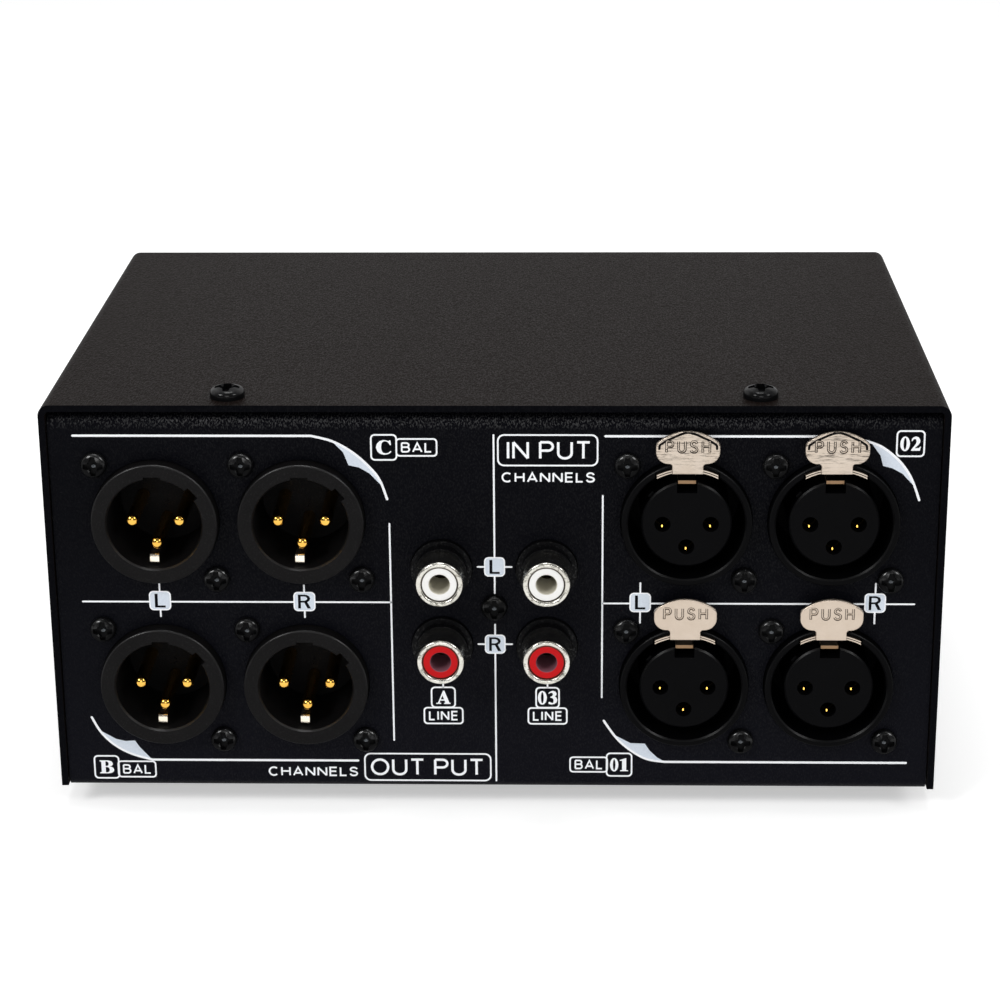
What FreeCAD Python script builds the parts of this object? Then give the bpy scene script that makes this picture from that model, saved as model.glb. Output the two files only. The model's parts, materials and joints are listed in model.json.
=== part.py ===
# Passive preamplifier: a small folded steel box with balanced and phono sockets on its rear
# panel, a volume knob and two selector knobs on its front panel, and four rubber feet.
#
# Frame: +Z up, the front panel faces -Y, the rear panel faces +Y. The origin is on the plane of
# the feet's undersides, in the middle of the whole object's width and depth. Millimetres.
#
# Pieces on the rear panel are drawn in the rear panel's own frame: x runs to the right for
# someone who looks at the rear panel, y up, z out of the panel, and z is 0 on its outer face.
# Pieces on the front panel are drawn in the same way in the front panel's frame.
import FreeCAD, Part
import Sketcher
import math
import os

# Driving sizes in millimetres and degrees.
SIZES = {
    # steel box
    "box_width": 158.0,
    "box_depth": 102.0,
    "box_height": 73.4,
    "sheet": 1.2,
    "bend_inside": 0.8,
    "panel_bend_inside": 1.8,
    "cover_lift": 0.5,
    "cover_gap": 0.2,
    "flange_gap": 0.1,
    "flange_reach": 12.0,
    "panel_recess": 0.5,
    "lip_height": 12.0,
    "lip_setback": 9.0,
    "front_panel_thick": 2.0,
    "panel_edge": 0.4,
    # fasteners of the case
    "case_head_radius": 3.05,
    "case_head_height": 2.1,
    "case_head_edge": 1.0,
    "case_head_dome": 6.0,
    "case_shank_radius": 1.5,
    "case_shank_length": 6.0,
    "case_cross_reach": 2.2,
    "case_cross_tip": 0.5,
    "case_cross_root": 0.8,
    "case_cross_depth": 1.4,
    "sunk_head_radius": 2.7,
    "sunk_cross_reach": 1.5,
    "sunk_cross_tip": 0.35,
    "sunk_cross_root": 0.5,
    "sunk_cross_depth": 0.8,
    "thread_gap": 0.05,
    "screw_gap": 0.2,
    "cover_screw_side_inset": 32.5,
    "cover_screw_inset": 5.1,
    "side_screw_inset": 19.0,
    "side_screw_up": 7.0,
    "panel_screw_inset": 7.5,
    # feet
    "foot_height": 4.0,
    "foot_base_radius": 6.4,
    "foot_top_radius": 7.2,
    "foot_recess_radius": 3.6,
    "foot_recess_depth": 2.3,
    "foot_side_inset": 14.0,
    "foot_inset": 20.0,
    # spacing of the balanced sockets, and how far their middle lies below the box's middle
    "column_pitch": 25.7,
    "row_pitch": 31.1,
    "rows_drop": 0.25,
    # parts that both kinds of balanced socket share
    "flange_width": 25.0,
    "flange_tall": 26.0,
    "flange_thick": 3.0,
    "socket_screw_across": 10.35,
    "socket_screw_up": 10.7,
    "socket_screw_drop": 0.3,
    "socket_gap": 0.15,
    "contact_ring_radius": 4.2,
    "nose_edge": 0.4,
    "board_depth": 18.6,
    "fit_gap": 0.03,
    # small screws of the sockets
    "small_head_radius": 2.32,
    "small_head_height": 1.7,
    "small_head_edge": 0.9,
    "small_head_dome": 4.5,
    "small_shank_radius": 1.3,
    "small_shank_length": 5.0,
    "small_cross_reach": 1.75,
    "small_cross_tip": 0.42,
    "small_cross_root": 0.65,
    "small_cross_depth": 1.15,
    # output socket with pins
    "shell_nose_radius": 11.12,
    "shell_proud": 2.5,
    "shell_bore_radius": 8.35,
    "shell_mouth_radius": 8.6,
    "shell_lead_in": 0.4,
    "shell_bore_depth": 15.3,
    "shell_floor": 2.0,
    "shell_barrel_radius": 10.3,
    "key_angle": 40.0,
    "key_width": 2.5,
    "key_depth": 0.9,
    "catch_width": 3.0,
    "catch_depth": 0.5,
    "catch_length": 6.0,
    "pin_radius": 1.15,
    "pin_setback": 1.6,
    "pin_tip_round": 1.0,
    "tail_radius": 0.6,
    "tail_beyond_board": 1.2,
    "tongue_width": 1.6,
    "tongue_tall": 2.0,
    "tongue_across": -0.5,
    "tongue_setback": 2.0,
    "tongue_round": 0.55,
    # input socket with a latch
    "housing_nose_radius": 11.45,
    "housing_proud": 2.0,
    "housing_bore_radius": 10.22,
    "housing_mouth_radius": 10.5,
    "housing_lead_in": 0.3,
    "groove_floor_depth": 14.0,
    "groove_floor_thick": 1.5,
    "insert_radius": 7.9,
    "insert_proud": 1.6,
    "insert_edge": 0.3,
    "insert_gap": 0.05,
    "insert_flange_gap": 0.15,
    "insert_notch_width": 3.5,
    "insert_notch_floor": 5.8,
    "insert_rib_width": 1.2,
    "insert_rib_height": 0.45,
    "insert_rib_setback": 1.0,
    "socket_hole_radius": 1.4,
    "contact_wall": 0.22,
    "contact_setback": 3.5,
    "contact_length": 11.5,
    # latch of the input socket
    "tab_width": 11.1,
    "tab_bottom": 11.55,
    "tab_shoulder": 15.2,
    "tab_crown_radius": 7.9,
    "tab_top_round": 1.2,
    "tab_bottom_round": 2.2,
    "tab_face_round": 0.25,
    "neck_width": 5.4,
    "neck_round": 0.5,
    "neck_drop": 0.3,
    "tab_thick": 0.6,
    "tab_gap": 0.3,
    "leaf_crown": 10.6,
    "leaf_arch_radius": 11.8,
    "leaf_thick": 0.6,
    "leaf_width": 10.6,
    "recess_gap": 0.3,
    "strip_width": 3.1,
    "strip_thick": 0.6,
    "strip_top": 7.78,
    "strip_setback": 1.0,
    "tooth_top": 8.6,
    "tooth_start": 3.2,
    "tooth_length": 3.0,
    "pivot_up": 9.2,
    "pivot_inset": 1.5,
    "pivot_radius": 0.6,
    "pivot_gap": 0.05,
    "pivot_half_width": 6.5,
    # block of four phono jacks
    "phono_pitch_across": 18.6,
    "phono_pitch_up": 14.7,
    "phonos_drop": 1.05,
    "phono_collar_radius": 5.4,
    "phono_collar_proud": 0.8,
    "phono_step_radius": 4.55,
    "phono_step_proud": 2.4,
    "phono_block_width": 31.0,
    "phono_block_tall": 27.0,
    "phono_radius": 4.15,
    "phono_root_radius": 3.9,
    "phono_shoulder_gap": 0.1,
    "phono_reach": 7.9,
    "phono_lip": 0.45,
    "phono_wall": 0.95,
    "insulator_setback": 0.3,
    "insulator_gap": 0.08,
    "plug_hole_radius": 1.78,
    "centre_contact_wall": 0.25,
    "centre_contact_setback": 7.5,
    # boards and ribbon cable
    "board_thick": 1.6,
    "board_side_gap": 3.4,
    "board_foot_gap": 6.3,
    "board_top_gap": 5.1,
    "tail_gap": 0.1,
    "front_board_margin": 3.0,
    "front_board_tall": 54.0,
    "header_width": 33.0,
    "header_tall": 8.8,
    "header_thick": 9.0,
    "rear_header_inset": 9.0,
    "front_header_inset": 7.3,
    "ribbon_width": 25.4,
    "ribbon_thick": 1.0,
    "ribbon_bend": 8.0,
    # controls on the front panel
    "selector_side_inset": 29.0,
    "bushing_radius": 4.5,
    "bushing_gap": 0.1,
    "bushing_reach": 5.0,
    "nut_flats": 12.0,
    "nut_thick": 2.4,
    "control_depth": 25.0,
    "pot_side": 27.0,
    "pot_corner": 2.0,
    "switch_radius": 13.0,
    "shaft_radius": 3.0,
    "shaft_running_gap": 0.05,
    "shaft_reach": 14.0,
    "shaft_depth": 21.0,
    "shaft_flat": 2.5,
    "shaft_flat_length": 8.0,
    "knob_gap": 0.8,
    "knob_fit_gap": 0.02,
    "knob_recess_radius": 8.0,
    "knob_recess_depth": 5.5,
    "knob_bore_end_gap": 0.5,
    "volume_knob_radius": 19.0,
    "volume_knob_length": 17.0,
    "selector_knob_radius": 10.5,
    "selector_knob_length": 16.5,
    "knob_skirt": 0.5,
    "knob_skirt_length": 2.5,
    "knob_edge": 0.9,
    "knob_dish_depth": 0.4,
    "knob_dish_margin": 2.2,
    "pointer_width": 1.2,
    "pointer_length": 6.0,
    "pointer_depth": 0.6,
    "set_screw_radius": 1.5,
    "set_screw_length": 6.0,
    "set_screw_out": 10.0,
    "set_screw_socket": 0.85,
    "set_screw_socket_depth": 2.0,
}

# Places that follow from the driving sizes.
PLACES = {
    # the box along Y: the knob in front and the phono jacks behind reach equally far from the origin
    "cover_rear": "(Sizes.box_depth + Sizes.knob_gap + Sizes.volume_knob_length - Sizes.phono_reach) / 2",
    "cover_front": "Places.cover_rear - Sizes.box_depth",
    "rear_face": "Places.cover_rear - Sizes.panel_recess",
    "front_face": "Places.cover_front + Sizes.panel_recess",
    "front_wall": "Places.front_face + Sizes.front_panel_thick",
    "box_top": "Sizes.foot_height + Sizes.box_height",
    "bend_outside": "Sizes.bend_inside + Sizes.sheet",
    "panel_bend_outside": "Sizes.panel_bend_inside + Sizes.sheet",
    # how far below the cover's inner face a square corner must stay to clear the cover's bend
    "corner_drop": "Sizes.bend_inside"
                   " - sqrt(Sizes.bend_inside^2 - (Sizes.bend_inside - Sizes.cover_gap)^2)",
    "chassis_top": "Places.box_top - Sizes.sheet - Places.corner_drop - Sizes.flange_gap",
    "chassis_half": "Sizes.box_width / 2 - Sizes.sheet - Sizes.cover_gap",
    "chassis_tall": "Places.chassis_top - Sizes.foot_height",
    "cover_half": "Sizes.box_width / 2",
    "box_middle": "Sizes.box_height / 2",
    "foot_across": "Places.cover_half - Sizes.foot_side_inset",
    "cover_screw_across": "Places.cover_half - Sizes.cover_screw_side_inset",
    # the balanced sockets stand in pairs, midway between the phono block and the side wall
    "pair_middle": "(Sizes.phono_block_width / 2 + Places.chassis_half) / 2",
    "inner_column": "Places.pair_middle - Sizes.column_pitch / 2",
    "outer_column": "Places.pair_middle + Sizes.column_pitch / 2",
    "lower_row": "Places.box_middle - Sizes.rows_drop - Sizes.row_pitch / 2",
    "upper_row": "Places.box_middle - Sizes.rows_drop + Sizes.row_pitch / 2",
    # heights in the rear panel's frame
    "flange_back": "-Sizes.sheet - Sizes.flange_thick",
    "shell_bore_floor": "Sizes.shell_proud - Sizes.shell_bore_depth",
    "tail_end": "-Sizes.board_depth - Sizes.board_thick - Sizes.tail_beyond_board",
    "pin_tip": "Sizes.shell_proud - Sizes.pin_setback",
    "contact_front": "Sizes.insert_proud - Sizes.contact_setback",
    "contact_radius": "Sizes.socket_hole_radius - Sizes.fit_gap",
    "groove_back": "-Sizes.groove_floor_depth - Sizes.groove_floor_thick",
    "latch_front": "Sizes.housing_proud + Sizes.tab_gap",
    "leaf_under": "Sizes.leaf_crown - Sizes.leaf_thick",
    "pivot_depth": "Sizes.board_depth - Sizes.pivot_inset",
    "leaf_back": "-Places.pivot_depth - Sizes.strip_thick / 2",
    "leaf_arch_middle": "Sizes.leaf_crown - Sizes.leaf_arch_radius",
    "strip_front": "Sizes.insert_proud - Sizes.strip_setback",
    "tooth_front": "Places.strip_front - Sizes.tooth_start",
    "phono_middle_up": "Places.box_middle - Sizes.phonos_drop",
    "phono_lower": "Places.phono_middle_up - Sizes.phono_pitch_up / 2",
    "phono_upper": "Places.phono_middle_up + Sizes.phono_pitch_up / 2",
    "phono_column": "Sizes.phono_pitch_across / 2",
    "phono_block_back": "-Sizes.board_depth",
    "phono_bore_radius": "Sizes.phono_root_radius + Sizes.fit_gap",
    "phono_shoulder": "Sizes.phono_step_proud + Sizes.phono_shoulder_gap",
    "insulator_radius": "Sizes.phono_radius - Sizes.phono_wall - Sizes.insulator_gap",
    "board_back": "-Sizes.board_depth - Sizes.board_thick",
    "board_half": "Places.chassis_half - Sizes.sheet - Sizes.board_side_gap",
    "board_low": "Sizes.sheet + Sizes.board_foot_gap",
    "board_high": "Places.chassis_tall - Sizes.sheet - Sizes.board_top_gap",
    # controls, in the front panel's frame
    "selector_across": "Places.cover_half - Sizes.selector_side_inset",
    "wall_back": "-Sizes.front_panel_thick - Sizes.sheet",
    "control_back": "Places.wall_back - Sizes.control_depth",
    "front_board_back": "Places.control_back - Sizes.board_thick",
    "front_board_half": "Places.selector_across + Sizes.switch_radius + Sizes.front_board_margin",
    "front_board_low": "Places.box_middle - Sizes.front_board_tall / 2",
    "front_board_high": "Places.box_middle + Sizes.front_board_tall / 2",
    "nut_corner": "Sizes.nut_flats / sqrt(3)",
    # ribbon cable along Y in the whole object's frame
    "ribbon_rear": "Places.rear_face + Places.board_back - Sizes.header_thick",
    "ribbon_front": "Places.front_face - Places.front_board_back + Sizes.header_thick",
    "ribbon_middle": "(Places.ribbon_rear + Places.ribbon_front) / 2",
    "ribbon_high": "Sizes.foot_height + Places.board_high - Sizes.rear_header_inset",
    "ribbon_low": "Sizes.foot_height + Places.front_board_low + Sizes.front_header_inset",
}
# The domed screw heads: a rounded edge runs smoothly into a flatter dome, both arcs about the axis.
for screw_kind in ("case", "small"):
    head_radius = f"Sizes.{screw_kind}_head_radius"
    edge_radius = f"Sizes.{screw_kind}_head_edge"
    dome_radius = f"Sizes.{screw_kind}_head_dome"
    dome_middle = f"(Sizes.{screw_kind}_head_height - {dome_radius})"
    # from the dome's middle to the edge arc's middle: across, along the axis, and straight
    across = f"({head_radius} - {edge_radius})"
    straight = f"({dome_radius} - {edge_radius})"
    along = f"sqrt({straight}^2 - {across}^2)"
    PLACES[f"{screw_kind}_rim"] = f"{dome_middle} + {along}"
    PLACES[f"{screw_kind}_dome_edge"] = f"{dome_radius} * {across} / {straight}"
    PLACES[f"{screw_kind}_dome_start"] = f"{dome_middle} + {dome_radius} * {along} / {straight}"

# The sockets, each with its place to the right of the rear panel's middle and above its foot.
OUTPUTS = {
    "output_c_left": ("-Places.outer_column", "Places.upper_row"),
    "output_c_right": ("-Places.inner_column", "Places.upper_row"),
    "output_b_left": ("-Places.outer_column", "Places.lower_row"),
    "output_b_right": ("-Places.inner_column", "Places.lower_row"),
}
INPUTS = {
    "input_2_left": ("Places.inner_column", "Places.upper_row"),
    "input_2_right": ("Places.outer_column", "Places.upper_row"),
    "input_1_left": ("Places.inner_column", "Places.lower_row"),
    "input_1_right": ("Places.outer_column", "Places.lower_row"),
}
PHONOS = {
    "output_a_left": ("-Places.phono_column", "Places.phono_upper"),
    "output_a_right": ("-Places.phono_column", "Places.phono_lower"),
    "input_3_left": ("Places.phono_column", "Places.phono_upper"),
    "input_3_right": ("Places.phono_column", "Places.phono_lower"),
}
# The controls, each with its place along X on the front panel.
CONTROLS = {
    "input": "-Places.selector_across",
    "volume": "0",
    "output": "Places.selector_across",
}
# Where the three contacts of a balanced socket lie on their circle, as (right, up).
CONTACT_SPOTS = (
    ("-Sizes.contact_ring_radius", "0"),
    ("Sizes.contact_ring_radius", "0"),
    ("0", "-Sizes.contact_ring_radius"),
)
# The two screws of a balanced socket lie on a diagonal.
SCREW_SPOTS = (
    ("-Sizes.socket_screw_across", "Sizes.socket_screw_up - Sizes.socket_screw_drop"),
    ("Sizes.socket_screw_across", "-Sizes.socket_screw_up - Sizes.socket_screw_drop"),
)

REAR_SIDE = FreeCAD.Rotation(FreeCAD.Vector(0, 1, 1), 180)
FRONT_SIDE = FreeCAD.Rotation(FreeCAD.Vector(1, 0, 0), 90)
UPSIDE_DOWN = FreeCAD.Rotation(FreeCAD.Vector(1, 0, 0), 180)
UPRIGHT = FreeCAD.Rotation()
# How far a cutting sketch stands clear of the face it cuts into.
CLEAR = "1"

doc = FreeCAD.newDocument("passive_preamplifier")

sheet_of_sizes = doc.addObject("Spreadsheet::Sheet", "Sizes")
for row, (size_name, size_value) in enumerate(SIZES.items(), start=1):
    sheet_of_sizes.set(f"A{row}", size_name)
    sheet_of_sizes.set(f"B{row}", str(size_value))
    sheet_of_sizes.setAlias(f"B{row}", size_name)
doc.recompute()

places = doc.addObject("App::VarSet", "Places")
for place_name, place_formula in PLACES.items():
    places.addProperty("App::PropertyFloat", place_name, "Places")
    places.setExpression(place_name, place_formula)
reader = doc.addObject("App::VarSet", "Reader")
reader.addProperty("App::PropertyFloat", "value", "Reader")
doc.recompute()

# The finished pieces, by node name.
nodes = {}


def number(formula):
    """A formula in the names of Sizes and Places, worked out as a plain number."""
    reader.setExpression("value", str(formula))
    reader.recompute()
    return reader.value


def keep(piece, name):
    """Name a finished piece and keep it for the list of nodes."""
    piece.Label = name
    nodes[name] = piece


def place(piece, x, y, z, rotation=UPRIGHT):
    """Turn a piece and bind its place to formulas."""
    piece.Placement = FreeCAD.Placement(FreeCAD.Vector(0, 0, 0), rotation)
    for letter, formula in (("x", x), ("y", y), ("z", z)):
        piece.setExpression(f".Placement.Base.{letter}", str(formula))


def place_on_rear(piece, across="0", up="0", out="0"):
    """Stand a piece on the rear panel, at a place seen from behind."""
    place(piece, f"-({across})", f"Places.rear_face + ({out})", f"Sizes.foot_height + ({up})", REAR_SIDE)


def place_on_front(piece, across="0", up="0", out="0"):
    """Stand a piece on the front panel, at a place seen from the front."""
    place(piece, across, f"Places.front_face - ({out})", f"Sizes.foot_height + ({up})", FRONT_SIDE)


def new_body(name):
    return doc.addObject("PartDesign::Body", name + "_body")


def plane_of(body, role):
    """One of a body's own origin planes."""
    return next(item for item in body.Origin.OriginFeatures if item.Role == role)


def new_sketch(body, role, name, height="0", turn=0):
    """An empty sketch on an origin plane, raised along its normal and turned in its plane."""
    sketch = body.newObject("Sketcher::SketchObject", f"{body.Name}_{name}")
    sketch.AttachmentSupport = [(plane_of(body, role), "")]
    sketch.MapMode = "FlatFace"
    spin = FreeCAD.Rotation(FreeCAD.Vector(0, 0, 1), turn)
    sketch.AttachmentOffset = FreeCAD.Placement(FreeCAD.Vector(0, 0, 0), spin)
    sketch.setExpression(".AttachmentOffset.Base.z", str(height))
    return sketch


def arc_between(start, end, radius):
    """The short arc from start to end, turning left for a positive radius, else right."""
    chord = end - start
    left = FreeCAD.Vector(-chord.y, chord.x, 0).normalize()
    rise = math.sqrt(max(radius ** 2 - (chord.Length / 2) ** 2, 0.0))
    middle = start + chord * 0.5 + left * math.copysign(rise, radius)
    first, last = (start, end) if radius > 0 else (end, start)
    first_angle = math.atan2(first.y - middle.y, first.x - middle.x)
    last_angle = math.atan2(last.y - middle.y, last.x - middle.x)
    circle = Part.Circle(middle, FreeCAD.Vector(0, 0, 1), abs(radius))
    return Part.ArcOfCircle(circle, first_angle, last_angle)


def draw(body, role, name, corners, height="0", turn=0):
    """A closed outline through corners (x, y) given as formulas.

    A third item on a corner is the radius of an arc that leads to the next corner: it turns
    left as it stands, and right with a minus sign in front.
    """
    sketch = new_sketch(body, role, name, height, turn)
    points = [FreeCAD.Vector(number(corner[0]), number(corner[1]), 0) for corner in corners]
    count = len(corners)
    shapes = []
    starts = []
    ends = []
    for i in range(count):
        following = points[(i + 1) % count]
        if len(corners[i]) == 3:
            radius = number(corners[i][2])
            shapes.append(arc_between(points[i], following, radius))
            starts.append(1 if radius > 0 else 2)
        else:
            shapes.append(Part.LineSegment(points[i], following))
            starts.append(1)
        ends.append(3 - starts[-1])
    sketch.addGeometry(shapes, False)
    for i in range(count):
        after = (i + 1) % count
        sketch.addConstraint(Sketcher.Constraint("Coincident", i, ends[i], after, starts[after]))
    for i in range(count):
        across = sketch.addConstraint(Sketcher.Constraint("DistanceX", i, starts[i], points[i].x))
        sketch.setExpression(f"Constraints[{across}]", str(corners[i][0]))
        up = sketch.addConstraint(Sketcher.Constraint("DistanceY", i, starts[i], points[i].y))
        sketch.setExpression(f"Constraints[{up}]", str(corners[i][1]))
        if len(corners[i]) == 3:
            bend = sketch.addConstraint(Sketcher.Constraint("Radius", i, abs(number(corners[i][2]))))
            sketch.setExpression(f"Constraints[{bend}]", f"abs({corners[i][2]})")
    return sketch


def draw_circles(body, role, name, circles, height="0"):
    """Circles given as (x, y, radius) formulas."""
    sketch = new_sketch(body, role, name, height)
    for x, y, radius in circles:
        middle = FreeCAD.Vector(number(x), number(y), 0)
        circle = sketch.addGeometry(Part.Circle(middle, FreeCAD.Vector(0, 0, 1), number(radius)), False)
        across = sketch.addConstraint(Sketcher.Constraint("DistanceX", circle, 3, middle.x))
        sketch.setExpression(f"Constraints[{across}]", str(x))
        up = sketch.addConstraint(Sketcher.Constraint("DistanceY", circle, 3, middle.y))
        sketch.setExpression(f"Constraints[{up}]", str(y))
        size = sketch.addConstraint(Sketcher.Constraint("Radius", circle, number(radius)))
        sketch.setExpression(f"Constraints[{size}]", str(radius))
    return sketch


def rectangle(left, low, right, high):
    """The corners of a rectangle, as formulas."""
    return [(left, low), (right, low), (right, high), (left, high)]


def centred(width, tall):
    """The corners of a rectangle about the sketch's origin."""
    return rectangle(f"-({width}) / 2", f"-({tall}) / 2", f"({width}) / 2", f"({tall}) / 2")


def pad(body, sketch, length):
    """Add material from a sketch along its normal."""
    feature = body.newObject("PartDesign::Pad", sketch.Name + "_pad")
    feature.Profile = sketch
    feature.setExpression("Length", str(length))
    return feature


def pocket(body, sketch, depth, along_normal=False):
    """Cut from a sketch against its normal, or along it."""
    feature = body.newObject("PartDesign::Pocket", sketch.Name + "_pocket")
    feature.Profile = sketch
    feature.Reversed = along_normal
    feature.setExpression("Length", str(depth))
    return feature


def turn_about(body, kind, sketch):
    """Add (Revolution) or cut (Groove) a full turn of a sketch about its upright axis."""
    feature = body.newObject("PartDesign::" + kind, f"{sketch.Name}_{kind.lower()}")
    feature.Profile = sketch
    feature.ReferenceAxis = (sketch, ["V_Axis"])
    feature.Angle = 360
    return feature


def edges_where(shape, test):
    return [f"Edge{i}" for i, edge in enumerate(shape.Edges, start=1) if test(edge)]


def runs_along(edge, axis):
    """Whether an edge is straight and lies along an axis."""
    if not isinstance(edge.Curve, Part.Line):
        return False
    return abs(abs(edge.Curve.Direction.dot(axis)) - 1) < 1e-6


def dress(body, kind, property_name, size, base, edges):
    """Fillet or chamfer the named edges of a body's feature."""
    feature = body.newObject("PartDesign::" + kind, f"{base.Name}_{kind.lower()}")
    feature.Base = (base, edges)
    feature.setExpression(property_name, str(size))
    return feature


def round_lines(body, base, axis, spots, radius):
    """Round the straight edges along an axis that pass through spots given as formulas."""
    doc.recompute()
    flat = [FreeCAD.Vector(*(number(value) for value in spot)) for spot in spots]

    def is_wanted(edge):
        if not runs_along(edge, axis):
            return False
        across = edge.CenterOfMass - axis * edge.CenterOfMass.dot(axis)
        return any((across - spot).Length < 0.01 for spot in flat)

    return dress(body, "Fillet", "Radius", radius, base, edges_where(base.Shape, is_wanted))


ALONG_X = FreeCAD.Vector(1, 0, 0)
ALONG_Y = FreeCAD.Vector(0, 1, 0)
ALONG_Z = FreeCAD.Vector(0, 0, 1)


def group(name, master, spots):
    """One node of identical pieces: links to a master, each with its place and turn."""
    links = []
    for i, (x, y, z, rotation) in enumerate(spots, start=1):
        link = doc.addObject("App::Link", f"{name}_{i}")
        link.LinkedObject = master
        place(link, x, y, z, rotation)
        links.append(link)
    bundle = doc.addObject("Part::Compound", name + "_group")
    bundle.Links = links
    keep(bundle, name)


def rear_spot(across, up, out="0"):
    """A place and turn on the rear panel, for a link."""
    return (f"-({across})", f"Places.rear_face + ({out})", f"Sizes.foot_height + ({up})", REAR_SIDE)


def front_spot(across, up, out="0"):
    """A place and turn on the front panel, for a link."""
    return (across, f"Places.front_face - ({out})", f"Sizes.foot_height + ({up})", FRONT_SIDE)


# Chassis: bottom, rear panel and inner front wall folded from one sheet, with a flange along
# the top of each wall and a lip along each side of the bottom. The bend at the top of the rear
# panel is the widest.
PANEL_LINE = (("0", "Places.rear_face", "Places.chassis_top"),)
PANEL_INNER_LINE = (("0", "Places.rear_face - Sizes.sheet", "Places.chassis_top - Sizes.sheet"),)
CHASSIS_LINES = (
    ("0", "Places.rear_face", "Sizes.foot_height"),
    ("0", "Places.front_wall", "Sizes.foot_height"),
    ("0", "Places.front_wall", "Places.chassis_top"),
)
CHASSIS_INNER_LINES = (
    ("0", "Places.rear_face - Sizes.sheet", "Sizes.foot_height + Sizes.sheet"),
    ("0", "Places.front_wall + Sizes.sheet", "Sizes.foot_height + Sizes.sheet"),
    ("0", "Places.front_wall + Sizes.sheet", "Places.chassis_top - Sizes.sheet"),
)


def panel_screw_spots():
    """The four screws of the front panel, in the front panel's frame."""
    across = "(Places.chassis_half - Sizes.panel_screw_inset)"
    low = "Sizes.panel_screw_inset"
    high = "Places.chassis_tall - Sizes.panel_screw_inset"
    return [(f"-{across}", low), (across, low), (f"-{across}", high), (across, high)]


def foot_spots():
    """The four feet, by name, in the whole object's frame."""
    rear = "Places.cover_rear - Sizes.foot_inset"
    front = "Places.cover_front + Sizes.foot_inset"
    return {
        "foot_front_left": ("-Places.foot_across", front),
        "foot_front_right": ("Places.foot_across", front),
        "foot_rear_left": ("-Places.foot_across", rear),
        "foot_rear_right": ("Places.foot_across", rear),
    }


def side_screw_spots():
    """The side screws along Y and Z."""
    up = "Sizes.foot_height + Sizes.side_screw_up"
    return [
        ("Places.cover_front + Sizes.side_screw_inset", up),
        ("Places.cover_rear - Sizes.side_screw_inset", up),
    ]


def cover_screw_spots():
    """The two screws near the rear edge of the top, along X and Y."""
    inset = "Places.cover_rear - Sizes.cover_screw_inset"
    return [("-Places.cover_screw_across", inset), ("Places.cover_screw_across", inset)]


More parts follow.
